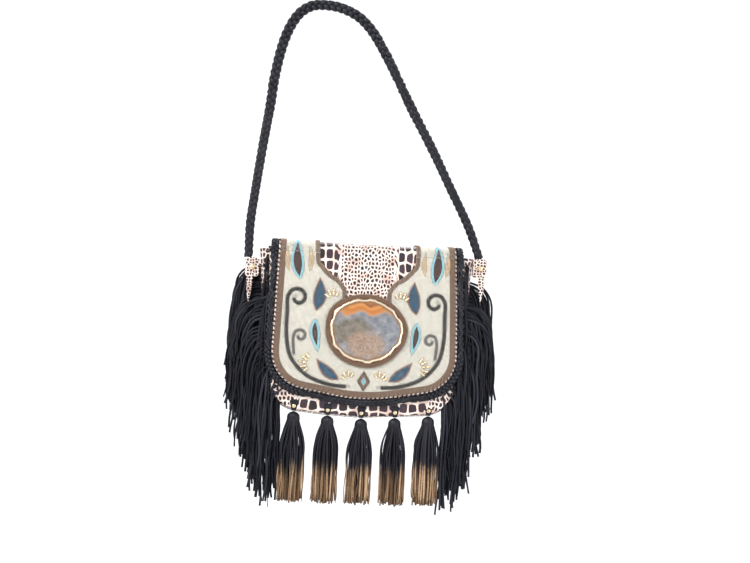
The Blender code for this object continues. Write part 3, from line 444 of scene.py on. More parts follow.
PRINTED = printed_leather()
BLACK = black_leather("black leather", 0.42, 900)
STRAND = strand_leather()
DIPPED = tassel_leather()
BEAD = bead_glass()
# cloth of the ivory ground: its dark thread colour is partly painted shade between the bead rows
GROUND_WITH_GAP_SHADE = sewn_ground("sewn ground with painted shade between the beads", (0.14, 0.13, 0.115), (0.52, 0.49, 0.43))
BROWN_GROUND = sewn_ground("sewn ground of the brown beads", (0.045, 0.03, 0.022), (0.12, 0.08, 0.055))
GOLD = gilt("pale gold", (0.88, 0.70, 0.43), 0.24)
GILDED_RIM = gilt("worn gilding", (0.93, 0.80, 0.60), 0.32)
SUEDE = suede()
CLOTH = woven_cloth()
print("finishes:", len(bpy.data.materials))

# %% [markdown]
# Two Geometry Nodes trees make nearly everything that repeats. One puts a bead on every point;
# the other sweeps a strip or a round strand along every path. Their sizes are named inputs.

# %% Geometry Nodes helpers
class Tree:
    def __init__(self, name, **inputs):
        self.group = bpy.data.node_groups.new(name, "GeometryNodeTree")
        face = self.group.interface
        face.new_socket("Geometry", in_out="INPUT", socket_type="NodeSocketGeometry")
        face.new_socket("Geometry", in_out="OUTPUT", socket_type="NodeSocketGeometry")
        for title, kind in inputs.items():
            face.new_socket(title, in_out="INPUT", socket_type="NodeSocket" + kind)
        self.start = self.group.nodes.new("NodeGroupInput").outputs
        self.end = self.group.nodes.new("NodeGroupOutput").inputs

    def node(self, kind, settings=None, inputs=None, out=0):
        made = self.group.nodes.new(kind)
        for title, choice in (settings or {}).items():
            setattr(made, title, choice)
        for title, amount in (inputs or {}).items():
            if isinstance(amount, bpy.types.NodeSocket):
                self.group.links.new(amount, made.inputs[title])
            else:
                made.inputs[title].default_value = amount
        return made.outputs[out]

    def named(self, title, kind):
        return self.node("GeometryNodeInputNamedAttribute", {"data_type": kind}, {"Name": title})

    def finish(self, geometry):
        smooth = self.node("GeometryNodeSetShadeSmooth", None, {"Geometry": geometry})
        real = self.node("GeometryNodeRealizeInstances", None, {"Geometry": smooth})
        last = self.node("GeometryNodeSetMaterial", None,
                         {"Geometry": real, "Material": self.start["Material"]})
        self.group.links.new(last, self.end["Geometry"])

    def run(self, made, **values):
        modifier = made.modifiers.new("tree", "NODES")
        modifier.node_group = self.group
        for item in self.group.interface.items_tree:
            if item.in_out == "INPUT" and item.name in values:
                modifier[item.identifier] = values[item.name]
        bake(made)


beads_tree = Tree("beads on points", Segments="Int", Rings="Int", Material="Material")
sphere = beads_tree.node("GeometryNodeMeshUVSphere", None, {
    "Segments": beads_tree.start["Segments"], "Rings": beads_tree.start["Rings"], "Radius": 0.5})
beads_tree.finish(beads_tree.node("GeometryNodeInstanceOnPoints", None, {
    "Points": beads_tree.start["Geometry"], "Instance": sphere,
    "Rotation": beads_tree.named("lie", "FLOAT_VECTOR"), "Scale": beads_tree.named("size", "FLOAT_VECTOR")}))

sweep_tree = Tree("strands along paths", Wide="Float", Thick="Float", Sides="Int", Material="Material")
size_of = sweep_tree.start
curve = sweep_tree.node("GeometryNodeMeshToCurve", None, {"Mesh": size_of["Geometry"]})
curve = sweep_tree.node("GeometryNodeSetCurveNormal", {"mode": "FREE"},
                        {"Curve": curve, "Normal": sweep_tree.named("face", "FLOAT_VECTOR")})
curve = sweep_tree.node("GeometryNodeSetCurveRadius", None,
                        {"Curve": curve, "Radius": sweep_tree.named("full", "FLOAT")})
ring = sweep_tree.node("GeometryNodeCurvePrimitiveCircle", None,
                       {"Resolution": size_of["Sides"], "Radius": 0.5})
half_side = sweep_tree.node("ShaderNodeMath", {"operation": "DIVIDE"}, {0: math.pi, 1: size_of["Sides"]})
spin = sweep_tree.node("ShaderNodeCombineXYZ", None, {"Z": half_side})
ring = sweep_tree.node("GeometryNodeTransform", None, {"Geometry": ring, "Rotation": spin})
shape = sweep_tree.node("ShaderNodeCombineXYZ", None, {"X": size_of["Thick"], "Y": size_of["Wide"], "Z": 1.0})
ring = sweep_tree.node("GeometryNodeTransform", None, {"Geometry": ring, "Scale": shape})
sweep_tree.finish(sweep_tree.node("GeometryNodeCurveToMesh", None,
                                  {"Curve": curve, "Profile Curve": ring, "Fill Caps": True}))


def sweep(name, paths, faces_to, wide, thick, sides, material, full, values=None):
    """One mesh of strands: each path is an array of points, with the way its flat side faces."""
    points = np.concatenate(paths)
    edges, start = [], 0
    for path in paths:
        edges += [(start + k, start + k + 1) for k in range(len(path) - 1)]
        start += len(path)
    mesh = bpy.data.meshes.new(name)
    mesh.from_pydata(points.tolist(), edges, [])
    stretch = math.sqrt(2.0) if sides == 4 else 1.0
    add_fields(mesh, dict(values or {}, face=faces_to, full=full))
    made = add_object(name, mesh)
    sweep_tree.run(made, Wide=wide * stretch, Thick=thick * stretch, Sides=sides, Material=material)
    outward_faces(made)
    return made


# %% [markdown]
# Paths. A smooth curve runs through a few points; an outline's corners are turned by arcs; and a
# path shifted to its side gives the next row of beads.

# %% Path helpers
def spaced(points, count):
    steps = np.linalg.norm(np.diff(points, axis=0), axis=1)
    length = np.concatenate([[0.0], np.cumsum(steps)])
    wanted = np.linspace(0, length[-1], count)
    return np.stack([np.interp(wanted, length, column) for column in points.T], axis=1)


def length_of(points):
    return float(np.linalg.norm(np.diff(points, axis=0), axis=1).sum())


def curve_through(points, count):
    p = np.asarray(points, float)
    p = np.vstack([2 * p[0] - p[1], p, 2 * p[-1] - p[-2]])
    t = np.linspace(0, 1, 13)[:-1, None]
    spans = [0.5 * (2 * b + (c - a) * t + (2 * a - 5 * b + 4 * c - d) * t ** 2
                    + (3 * b - a - 3 * c + d) * t ** 3) for a, b, c, d in zip(p, p[1:], p[2:], p[3:])]
    return spaced(np.vstack(spans + [p[-2:-1]]), count)


def rounded(corners, radii, steps=12):
    corners = [np.asarray(corner, float) for corner in corners]
    points = [corners[0]]
    for before, corner, after, radius in zip(corners, corners[1:], corners[2:], radii):
        back, ahead = [(end - corner) / np.linalg.norm(end - corner) for end in (before, after)]
        half = math.acos(np.clip(back @ ahead, -1, 1)) / 2
        middle = (back + ahead) / np.linalg.norm(back + ahead)
        centre = corner + middle * radius / math.sin(half)
        reach = radius / math.tan(half)
        first, last = corner + back * reach - centre, corner + ahead * reach - centre
        sweep_angle = math.pi - 2 * half
        for part in np.linspace(0, 1, steps):
            points.append(centre + (first * math.sin((1 - part) * sweep_angle)
                                    + last * math.sin(part * sweep_angle)) / math.sin(sweep_angle))
    return np.array(points + [corners[-1]])


def headings(points):
    along = np.gradient(points, axis=0)
    return along / np.maximum(np.linalg.norm(along, axis=1, keepdims=True), 1e-9)


def shifted(points, distance):
    along = headings(points)
    return points + np.stack([-along[:, 1], along[:, 0]], axis=1) * distance


def distance_to(points, outline):
    a, b = outline, np.roll(outline, -1, axis=0)
    way = b - a
    part = ((points[:, None] - a) * way).sum(-1) / np.maximum((way ** 2).sum(-1), 1e-12)
    near = a + way * np.clip(part, 0, 1)[..., None]
    return np.linalg.norm(points[:, None] - near, axis=-1).min(1)


def shifted_corners(corners, distance):
    """A polygon's open line of corners moved to its left, each corner where its two sides meet."""
    corners = [np.asarray(corner, float) for corner in corners]
    moved = []
    for k, corner in enumerate(corners):
        ways = []
        for a, b in ((k - 1, k), (k, k + 1)):
            if a >= 0 and b < len(corners):
                way = corners[b] - corners[a]
                ways.append(way / np.linalg.norm(way))
        normals = [np.array([-way[1], way[0]]) for way in ways]
        mean = sum(normals) / np.linalg.norm(sum(normals))
        moved.append(corner + mean * distance / (mean @ normals[0]))
    return moved


# %% [markdown]
# Seen from the side, the flap rises from the back, arches over the mouth, folds and hangs down the
# full front. That one line carries everything on the flap: a flat layout of x, run along the line
# and height over it is bent on to it, as leather is.

# %% Side line of the flap
BAG_X, MOUTH_Z, BACK_Y = 0.092, -0.396, 0.023


def front_bow(drop):
    part = (drop - 0.014) / 0.276
    return -0.024 - 0.026 * part - 0.0085 * 4 * part * (1 - part)


arch = [(0.0227, 0.0), (0.0125, 0.0056), (0.0005, 0.0076), (-0.0120, 0.0062), (-0.0198, 0.0012),
        (-0.0230, -0.0060)]
hanging = [(front_bow(drop), -drop) for drop in np.linspace(0.014, 0.290, 9)]
hanging += [(front_bow(0.290), -0.380), (front_bow(0.290), -0.470)]
SIDE = curve_through(arch + hanging, 1200)
SIDE_RUN = np.concatenate([[0.0], np.cumsum(np.linalg.norm(np.diff(SIDE, axis=0), axis=1))])
SIDE_RUN -= SIDE_RUN[np.argmin(np.linalg.norm(SIDE - np.array(arch[-1]), axis=1))]
SIDE_WAY = headings(SIDE)
SIDE_OUT = np.stack([SIDE_WAY[:, 1], -SIDE_WAY[:, 0]], axis=1)
HINGE_RUN = SIDE_RUN[0]
X_AXIS = np.array([1.0, 0.0, 0.0])


def along_side(run, table):
    return np.stack([np.interp(run, SIDE_RUN, table[:, 0]), np.interp(run, SIDE_RUN, table[:, 1])], axis=-1)


def bend(x, run, out):
    """Places of flat points on the flap: across, along the side line, and away from it."""
    x, run, out = np.broadcast_arrays(np.asarray(x, float), run, out)
    side = along_side(run, SIDE) + along_side(run, SIDE_OUT) * out[..., None]
    return np.stack([BAG_X + x, side[..., 0], MOUTH_Z + side[..., 1]], axis=-1)


def faces_out(run):
    side = along_side(run, SIDE_OUT)
    return np.concatenate([np.zeros((*side.shape[:-1], 1)), side], axis=-1)


def way_down(run):
    side = along_side(run, SIDE_WAY)
    return np.concatenate([np.zeros((*side.shape[:-1], 1)), side], axis=-1)


def run_at_drop(drop, out=0.0):
    heights = -(SIDE[:, 1] + SIDE_OUT[:, 1] * out)
    front = SIDE_RUN >= 0
    return np.interp(drop, heights[front], SIDE_RUN[front])


print("side line: hinge at run", round(float(HINGE_RUN), 4), "end", round(float(SIDE_RUN[-1]), 4))

# %% [markdown]
# The body is a soft shell: a front that bows out over what the bag holds, a flat back and a side
# strip that swells between the two seams. Each is a grid, ruled from the mouth down to the curve
# of the bottom, with slow waves in its surface where the leather has slackened.

# %% Body outline
BODY_CORNERS = [(-0.165, 0.0), (-0.150, 0.264), (0.0, 0.275), (0.150, 0.264), (0.165, 0.0)]
BODY_RADII = (0.052, 0.4, 0.052)
BODY_FOOT = 0.277
PANEL_OUT, LEATHER, CLEAR = -0.0050, 0.0018, 0.0003


def ruled(top, bottom, rows):
    part = np.linspace(0, 1, rows)[:, None, None]
    return top[None] * (1 - part) + bottom[None] * part


def outline_sheet(line, columns, rows):
    """A flat grid in a U-shaped outline, ruled from its straight top down to its curved foot."""
    return ruled(np.linspace(line[0], line[-1], columns), spaced(line[1:-1], columns), rows)


def waves(a, b, seed):
    rng = np.random.default_rng(seed)
    total = np.zeros(np.broadcast(a, b).shape)
    for size in (38.0, 62.0, 95.0):
        turn_angle, phase = rng.uniform(0, math.pi), rng.uniform(0, 6.3)
        total += np.sin((a * math.cos(turn_angle) + b * math.sin(turn_angle)) * size + phase) / size
    return total * 38.0


def print_field(x, y, cell, line):
    """Place in cells of the printed pattern and the breadth of its light lines."""
    return np.stack([x / cell, y / cell, np.broadcast_to(line, np.shape(x))], axis=-1)


def graded_print(x, along, change, middle, side):
    """Printed cells of one size in the middle and another beyond a change in x: wide, tall, line."""
    share = 0.5 + 0.5 * np.tanh((np.abs(x) - change) / 0.0022)
    beyond = change / middle[0] + (np.abs(x) - change) / side[0]
    across = np.abs(x) / middle[0] * (1 - share) + share * beyond
    down_cells = along * ((1 - share) / middle[1] + share / side[1])
    line = middle[2] + (side[2] - middle[2]) * share + 0.9 * share * (1 - share)
    return np.stack([np.sign(x) * across, down_cells, line], axis=-1)


flat = outline_sheet(rounded(BODY_CORNERS, BODY_RADII, 14), 81, 60)
x, drop = flat[..., 0], flat[..., 1]
from_sides = np.clip(np.minimum(1 - np.abs(np.linspace(-1, 1, 81)), 0.25) * 4, 0, 1)
near_seam = from_sides[None] * np.clip((BODY_FOOT - drop) / 0.03, 0, 1)
puff = near_seam * (0.0006 + 0.0005 * waves(x, drop, 3))
run = run_at_drop(np.maximum(drop, 0.0105), PANEL_OUT)
printed = graded_print(x, BODY_FOOT - drop, 0.108, (0.0165, 0.0175, 0.065), (0.0062, 0.0085, 0.13))
front = wall("front_leather", bend(x, run, PANEL_OUT + puff), bend(x, run, PANEL_OUT - LEATHER + puff),
             {"print": printed})
dress(front, "bag", PRINTED, "croc_leather", "front_panel")

places = np.stack([BAG_X + x, np.full(x.shape, BACK_Y), MOUTH_Z - drop - 0.0003], axis=-1)
sag = near_seam * 0.0005 * waves(x, drop, 11)
outer, inner = places.copy(), places.copy()
outer[..., 1] += sag - 0.0002
inner[..., 1] += sag - LEATHER
back = wall("back_leather", outer, inner, {"print": print_field(x, drop, 0.0135, 0.085)})
dress(back, "bag", PRINTED, "croc_leather", "back_panel")

# %% Side strip
seam = spaced(rounded(BODY_CORNERS, BODY_RADII), 190)
seam = seam[seam[:, 1] >= 0.004]
seam_out = shifted(seam, 1.0) - seam
across = np.linspace(0, 1, 17)
near_y = along_side(run_at_drop(seam[:, 1], PANEL_OUT - LEATHER), SIDE)[:, 0]
near_y += LEATHER - PANEL_OUT + CLEAR
far_y = BACK_Y - LEATHER - CLEAR
swell = (0.016 - 0.010 * np.clip(seam[:, 1] / 0.275, 0, 1))[:, None] * 4 * across * (1 - across)
seam_step, strip_wide = 0.0042, 0.06
around = np.broadcast_to(np.arange(len(seam))[:, None] * seam_step, swell.shape)
fold = 0.0007 * waves(around[:, :1], across[None] * strip_wide, 5) * np.sin(math.pi * across) ** 2


def side_sheet(inset):
    spot = seam[:, None] + seam_out[:, None] * (swell + fold - inset)[..., None]
    y = near_y[:, None] + (far_y - near_y[:, None]) * across
    return np.stack([BAG_X + spot[..., 0], y, MOUTH_Z - spot[..., 1]], axis=-1)


side_strip = wall("side_leather", side_sheet(0.0), side_sheet(LEATHER),
                  {"print": print_field(around, across[None] * strip_wide + 0 * around, 0.0085, 0.11)})
dress(side_strip, "bag", PRINTED, "croc_leather", "gusset")

# %% [markdown]
# The lining is a cloth pocket: rings from the mouth down, an outer set and an inner set joined at
# the mouth. Towards the bottom the rings draw in and rise at the corners, to stay in the shell.

# %% Lining
def softened(name, node, voxel, rounds):
    """A copy of a solid with its edges worn round, as soft leather or cloth has them."""
    mesh = bmesh.new()
    mesh.from_mesh(nodes[node].data)
    bmesh.ops.remove_doubles(mesh, verts=mesh.verts, dist=1e-6)
    data = bpy.data.meshes.new(name)
    mesh.to_mesh(data)
    mesh.free()
    made = add_object(name, data)
    remesh = made.modifiers.new("even", "REMESH")
    remesh.mode = "VOXEL"
    remesh.voxel_size = voxel
    remesh.use_smooth_shade = True
    smooth = made.modifiers.new("worn", "SMOOTH")
    smooth.factor = 0.5
    smooth.iterations = rounds
    bake(made)
    made.data.shade_smooth()
    return made


def add_print(made, cell, line):
    points = np.array([v.co for v in made.data.vertices])
    add_fields(made.data, {"print": print_field(points[:, 0] + points[:, 1], points[:, 2], cell, line)})


body_line = rounded(BODY_CORNERS, BODY_RADII)
body_line = body_line[(body_line[:, 0] >= 0) & (body_line[:, 1] > 0.1)]
CORNER_DROP, CORNER = 0.212, 0.052
lower_drops = 0.273 - 0.063 * np.cos(np.linspace(0.1, math.pi / 2, 10))
drops = np.concatenate([np.linspace(0.010, 0.210, 16), lower_drops])
lining_rows = []
for depth in (0.0, 0.0008):
    rows = []
    for drop_now in drops:
        half = float(np.interp(min(drop_now, CORNER_DROP), [0, 0.264], [0.165, 0.150])) - 0.004 - depth
        if drop_now > CORNER_DROP:
            half -= CORNER - math.sqrt(max(CORNER ** 2 - (drop_now - CORNER_DROP) ** 2 * 0.68, 0))
        near = float(along_side(run_at_drop(min(drop_now, 0.27), PANEL_OUT - LEATHER), SIDE)[0])
        near += LEATHER - PANEL_OUT + 0.0011 + depth
        far = BACK_Y - LEATHER - CLEAR - depth
        corners = [(0, far), (half, far), (half, near), (-half, near), (-half, far), (0, far)]
        ring_line = spaced(rounded(corners, (0.007,) * 4, 6), 97)[:-1]
        lowest = np.interp(np.abs(ring_line[:, 0]), body_line[:, 0], body_line[:, 1]) - 0.0040 - depth
        rows.append(np.column_stack([BAG_X + ring_line[:, 0], ring_line[:, 1],
                                     MOUTH_Z - np.minimum(drop_now, lowest)]))
    lining_rows.append(np.array(rows))
pocket = closed_rings("lining_cloth", np.concatenate([lining_rows[0][::-1], lining_rows[1]]))
dress(pocket, "bag", CLOTH, "lining_cloth", "lining")

# %% [markdown]
# The flap's leather is one piece from the back seam to its curved lower edge. Its print changes
# over the width: broad square scales at the sides of the window, small round ones in the middle.

# %% Flap leather
FLAP_CORNERS = [(-0.147, HINGE_RUN), (-0.155, 0.218), (0.0, 0.245), (0.155, 0.218), (0.147, HINGE_RUN)]


def flap_outline(inset=0.0, steps=12):
    corners = shifted_corners(FLAP_CORNERS, -inset)
    corners[0][1] = corners[-1][1] = HINGE_RUN
    half = corners[3][0]
    radii = (max(0.062 - inset, 0.004), min(0.300 - inset, half * 3), max(0.062 - inset, 0.004))
    return rounded(corners, radii, steps)


flat = outline_sheet(flap_outline(), 97, 90)
x, run = flat[..., 0], flat[..., 1]
printed = graded_print(x, run, 0.047, (0.0056, 0.0070, 0.15), (0.0120, 0.0185, 0.068))
near_edge = distance_to(flat.reshape(-1, 2), flap_outline()).reshape(x.shape) < 0.006
printed[..., 2] = np.where(near_edge, 0.9, printed[..., 2])
slack = 0.00025 * waves(x, run, 8)
flap_leather = wall("flap_leather_sheet", bend(x, run, 0.0029 + slack), bend(x, run, 0.0011 + slack),
                    {"print": printed})
dress(flap_leather, "flap", PRINTED, "croc_leather", "flap_leather")

flat = outline_sheet(flap_outline(0.003), 97, 60)
x, run = flat[..., 0], flat[..., 1]
backing = wall("flap_suede", bend(x, run, 0.0008), bend(x, run, 0.0))
dress(backing, "flap", SUEDE, "suede", "flap_backing")

# %% [markdown]
# Bead embroidery. Each motif is sewn in rows that follow its own outline, and the ground's rows
# follow the edge of the flap. First come the motifs: a scrolling stem, a tendril, leaves, fans of
# long pearls and a lozenge, drawn on the right half and mirrored.

# %% Colours and motifs
IVORY, COPPER, RUST = (0.90, 0.87, 0.76), (0.25, 0.150, 0.095), (0.33, 0.12, 0.055)
BLACK_BEAD, GREY, DARK_BROWN = (0.008, 0.008, 0.010), (0.11, 0.095, 0.095), (0.075, 0.025, 0.020)
PETROL, TURQUOISE, PEARL = (0.018, 0.105, 0.19), (0.34, 0.68, 0.76), (0.80, 0.61, 0.38)


def volute(centre, radius, start, turns, points):
    part = np.linspace(0, 1, points)
    angle = np.radians(start + 360 * turns * part)
    size = radius * (1 - 0.72 * part)
    return np.stack([centre[0] + size * np.cos(angle), centre[1] + size * np.sin(angle)], axis=1)


def band_outline(line, width):
    part = np.linspace(0, 1, len(line))
    full = width * np.minimum(1.0, np.minimum(0.5 + 4 * part, 0.6 + 4 * (1 - part)))
    along = headings(line)
    side = np.stack([-along[:, 1], along[:, 0]], axis=1) * full[:, None] / 2
    return np.vstack([line + side, (line - side)[::-1]])


def leaf_side(foot, tip, width, bow, share, count, side):
    foot, tip = np.asarray(foot), np.asarray(tip)
    along = tip - foot
    across_leaf = np.array([-along[1], along[0]]) / np.linalg.norm(along)
    part = np.linspace(0.0, 1.0, count)[:, None]
    half = width / 2 * np.sin(math.pi * part ** 0.8)
    aside = bow * 4 * part * (1 - part) + side * np.maximum(half - share, 0)
    return foot + along * part + across_leaf * aside


def leaf_outline(foot, tip, width, bow):
    sides = [leaf_side(foot, tip, width, bow, 0.0, 24, side) for side in (1, -1)]
    return np.vstack([sides[0], sides[1][::-1]])


STEM = np.vstack([[(0.0220, 0.2215), (0.0590, 0.2180), (0.0950, 0.2045), (0.1215, 0.1770),
                   (0.1305, 0.1400), (0.1308, 0.1000)], volute((0.1140, 0.0785), 0.0170, 0, -1.15, 9)])
TENDRIL = np.vstack([[(0.1165, 0.1730), (0.1185, 0.1570)], volute((0.1075, 0.1410), 0.0115, 10, -1.1, 8)])
STEM, TENDRIL = curve_through(STEM, 160), curve_through(TENDRIL, 90)
BLUE_LEAVES = [((0.0830, 0.0980), (0.0790, 0.0440), 0.021, -0.003),
               ((0.0420, 0.2100), (0.0790, 0.1780), 0.017, 0.003)]
LIGHT_LEAVES = [((0.0840, 0.1120), (0.0765, 0.1660), 0.016, -0.003),
                ((0.1120, 0.0480), (0.1170, -0.0220), 0.021, 0.003)]
SLIM_LEAVES = [((0.0960, 0.0330), (0.0965, -0.0060), 0.0075, -0.002),
               ((0.1310, 0.0330), (0.1340, -0.0060), 0.0075, 0.002)]
FANS = [((0.0840, 0.1860), -8, 0.025, 5, 90), ((0.0560, 0.0820), -78, 0.021, 4, 80),
        ((0.0250, 0.2120), -72, 0.018, 4, 90)]
LOZENGE_RUN, LOZENGE_HALF = 0.2115, (0.0105, 0.0165)


def petals(root, heading, reach, count, spread):
    made = []
    for k in range(count):
        angle = math.radians(heading + spread * (k / (count - 1) - 0.5))
        length = reach * (1 - 0.22 * abs(k / (count - 1) - 0.5) * 2)
        way = np.array([math.cos(angle), math.sin(angle)])
        made.append((np.asarray(root) + way * reach * 0.50, np.asarray(root) + way * length, way))
    return made


def diamond(share):
    scale = max(0.0, 1 - share / 0.0088)
    corners = np.array([(0, -1), (1, 0), (0, 1), (-1, 0), (0, -1)]) * LOZENGE_HALF
    return corners * scale + np.array([0, LOZENGE_RUN])


# %% [markdown]
# A store gathers beads: flat place, heading, size and colour. When a group is complete, its beads
# are set upright on the flap's curve, and the tree turns each point into a bead. Neighbours differ
# a little in size and tone, as sorted glass beads do.

# %% Bead store
rng = np.random.default_rng(7)
BEAD_PITCH, ROW = 0.00178, 0.0019
PLAIN_BEAD, SMALL_BEAD = (0.00165, 0.00185, 0.0017), (0.0018, 0.0020, 0.0018)
LONG_PEARL = (0.0068, 0.0037, 0.0034)
GROUND_OUT, TRIM_OUT, MOTIF_OUT, STONE_OUT = 0.0040, 0.0050, 0.0054, 0.0092


class BeadStore:
    def __init__(self):
        self.rows = []

    def row(self, line, tint, out, size=PLAIN_BEAD, mirror=False, keep=None, metal=0.0):
        """Beads along one flat line. Their holes follow the line, so they are narrower along it."""
        if len(line) < 2:
            return
        count = max(2, int(length_of(line) / BEAD_PITCH))
        spots = spaced(line, count)
        heading = headings(spots)
        if keep is not None:
            chosen = keep(spots)
            spots, heading = spots[chosen], heading[chosen]
        for sign in ((1, -1) if mirror else (1,)):
            flip = np.array([sign, 1.0])
            self.add(spots * flip, heading * flip, tint, out, size, metal)

    def add(self, spots, heading, tint, out, size, metal=0.0):
        if not len(spots):
            return
        count = len(spots)
        sizes = np.array(size) * rng.uniform(0.93, 1.05, (count, 1))
        tones = np.array(tint) * rng.uniform(0.80, 1.12, (count, 1))
        tones = tones * rng.uniform(0.96, 1.04, (count, 3))
        self.rows.append((spots + rng.normal(0, 0.00008, (count, 2)), heading, sizes, tones,
                          np.broadcast_to(out, (count,)).astype(float), np.full(count, metal)))

    def build(self, name, segments, rings):
        spots, heading, size, tint, out, metal = (np.concatenate(column) for column in zip(*self.rows))
        away = faces_out(spots[:, 1])
        ahead = heading[:, :1] * X_AXIS + heading[:, 1:] * way_down(spots[:, 1])
        side = np.cross(away, ahead)
        side /= np.linalg.norm(side, axis=1, keepdims=True)
        ahead = np.cross(side, away)
        lie = np.stack([np.arctan2(side[:, 2], away[:, 2]), np.arcsin(np.clip(-ahead[:, 2], -1, 1)),
                        np.arctan2(ahead[:, 1], ahead[:, 0])], axis=1)
        made = piece(name, bend(spots[:, 0], spots[:, 1], out), [],
                     {"lie": lie, "size": size, "tint": np.clip(tint, 0, 1), "metal": metal})
        beads_tree.run(made, Segments=segments, Rings=rings, Material=BEAD)
        print(name, len(spots), "beads")
        return made


def inside(points, outline):
    """Which flat points lie inside a closed outline."""
    a, b = outline, np.roll(outline, -1, axis=0)
    y = points[:, 1:2]
    crosses = (a[None, :, 1] > y) != (b[None, :, 1] > y)
    slope = (b[:, 0] - a[:, 0]) / np.where(np.abs(b[:, 1] - a[:, 1]) < 1e-12, 1e-12, b[:, 1] - a[:, 1])
    hit = points[:, :1] < slope * (y - a[None, :, 1]) + a[None, :, 0]
    return (crosses & hit).sum(1) % 2 == 1


# %% Motif beads
motifs = BeadStore()
for offset in (-0.0019, 0.0, 0.0019):
    motifs.row(shifted(STEM, offset)[4:-4], BLACK_BEAD, MOTIF_OUT, SMALL_BEAD, True)
for offset in (-0.00105, 0.00105):
    motifs.row(shifted(TENDRIL, offset)[3:-3], GREY, MOTIF_OUT, SMALL_BEAD, True)
for leaves, tints in ((BLUE_LEAVES, (RUST,) + (PETROL,) * 5),
                      (LIGHT_LEAVES, (TURQUOISE,) * 2 + (DARK_BROWN,) * 4),
                      (SLIM_LEAVES, (PEARL,) * 3)):
    for foot, tip, width, bow in leaves:
        for depth, tint in enumerate(tints):
            share = 0.0009 + depth * ROW
            if share > width / 2 + 0.0006:
                continue
            full = width / 2 * np.sin(math.pi * np.linspace(0, 1, 60) ** 0.8) > share - 0.0004
            for side in ((1, -1) if share < width / 2 - 0.0005 else (1,)):
                line = leaf_side(foot, tip, width, bow, share, 60, side)[full]
                motifs.row(line, tint, MOTIF_OUT, SMALL_BEAD, True, metal=0.35 if tint == PEARL else 0.0)
for depth, tint in enumerate((DARK_BROWN, COPPER, COPPER, TURQUOISE, TURQUOISE)):
    motifs.row(diamond(0.0008 + depth * 0.0017), tint, MOTIF_OUT, SMALL_BEAD)
motif_beads = motifs.build("motif_beads", 7, 4)
dress(motif_beads, "flap", BEAD, "ivory_bead")

pearls = BeadStore()
for fan in FANS:
    for start, end, way in petals(*fan):
        for share in (0.22, 0.78):
            spot = (start + (end - start) * share)[None]
            for flip in ([1, 1], [-1, 1]):
                pearls.add(spot * flip, way[None] * flip, PEARL, MOTIF_OUT + 0.0005, LONG_PEARL, 0.5)
pearl_beads = pearls.build("fan_pearls", 10, 7)
dress(pearl_beads, "flap", BEAD, "ivory_bead")

# %% [markdown]
# The ground's rows are the flap's edge, moved inwards again and again. A bead is left out where it
# would lie under a motif, the stone or the window's trim.

# %% Window and stone outlines
WINDOW_FOOT = (-0.034, 0.092)
STONE_RUN, STONE_HALF = 0.128, (0.060, 0.052)


def window_edge(offset=0.0, count=70):
    points = [(-0.080, HINGE_RUN), (-0.080, 0.0088), (-0.0744, 0.022), (-0.0592, 0.0374),
              (-0.0459, 0.0462), (-0.034, 0.0638), WINDOW_FOOT]
    line = shifted(curve_through(points, count), offset)
    line[0, 1] = HINGE_RUN
    return line


def stone_outline(grow=0.0, points=160):
    angle = np.linspace(0, 2 * math.pi, points, endpoint=False)
    wave = 1 + 0.014 * np.cos(3 * angle + 0.7) + 0.010 * np.cos(5 * angle) + 0.012 * np.sin(2 * angle)
    return np.stack([(STONE_HALF[0] + grow) * wave * np.cos(angle),
                     STONE_RUN + (STONE_HALF[1] + grow) * wave * np.sin(angle)], axis=1)


edge = window_edge(0.0072)
window = np.vstack([edge, (edge * [-1, 1])[::-1]])
shapes = [band_outline(STEM, 0.0062), band_outline(TENDRIL, 0.0046)]
shapes += [leaf_outline(*place) for place in BLUE_LEAVES + LIGHT_LEAVES + SLIM_LEAVES]
for fan in FANS:
    for start, end, way in petals(*fan):
        across_petal = np.array([-way[1], way[0]]) * 0.0017
        centre = (start + end) / 2
        shapes.append(np.array([start - way * 0.0008, centre + across_petal, end + way * 0.0008,
                                centre - across_petal]))
shapes += [shape_now * [-1, 1] for shape_now in shapes] + [diamond(0.0)]


def bare_ground(spots):
    keep = ~inside(spots, window) & ~inside(spots, stone_outline(0.0078))
    keep &= distance_to(spots, window) > 0.0006
    for outline in shapes:
        low, high = outline.min(0) - 0.003, outline.max(0) + 0.003
        near = np.all((spots > low) & (spots < high), axis=1)
        if near.any():
            part = spots[near]
            keep[near] &= ~inside(part, outline) & (distance_to(part, outline) > 0.0011)
    return keep


ground = BeadStore()
inset = 0.0130
while inset < 0.143:
    ground.row(spaced(flap_outline(inset), 400), IVORY, GROUND_OUT, keep=bare_ground)
    inset += ROW
ground_beads = ground.build("ground_beads", 6, 3)
dress(ground_beads, "flap", BEAD, "ivory_bead")

# %% [markdown]
# The beads are sewn to a thin cloth that covers the flap outside the window; its dark colour is
# partly painted shade in the gaps between the beads. It is one sheet that runs down one side of
# the window, round below it and up the other.

# %% Cloth under the beads
half_window = window_edge(0.0, 60)
half_edge = flap_outline(0.0020)
turns = len(half_edge) // 2
outer_line = np.vstack([spaced(half_edge[:turns + 1], 60), spaced(half_edge[turns:], 60)[1:]])
inner_line = np.vstack([half_window[:-1], [WINDOW_FOOT], (half_window * [-1, 1])[::-1][:-1]])
sheet = ruled(outer_line, inner_line, 40)
x, run = sheet[..., 0], sheet[..., 1]
# this sheet's dark colour is partly painted shade in the gaps between the ground beads
bead_cloth = wall("bead_cloth", bend(x, run, 0.0037), bend(x, run, 0.0030))
dress(bead_cloth, "flap", GROUND_WITH_GAP_SHADE, "ivory_bead",
      "bead_panel", "bead_border", "window_trim_left", "window_trim_right")

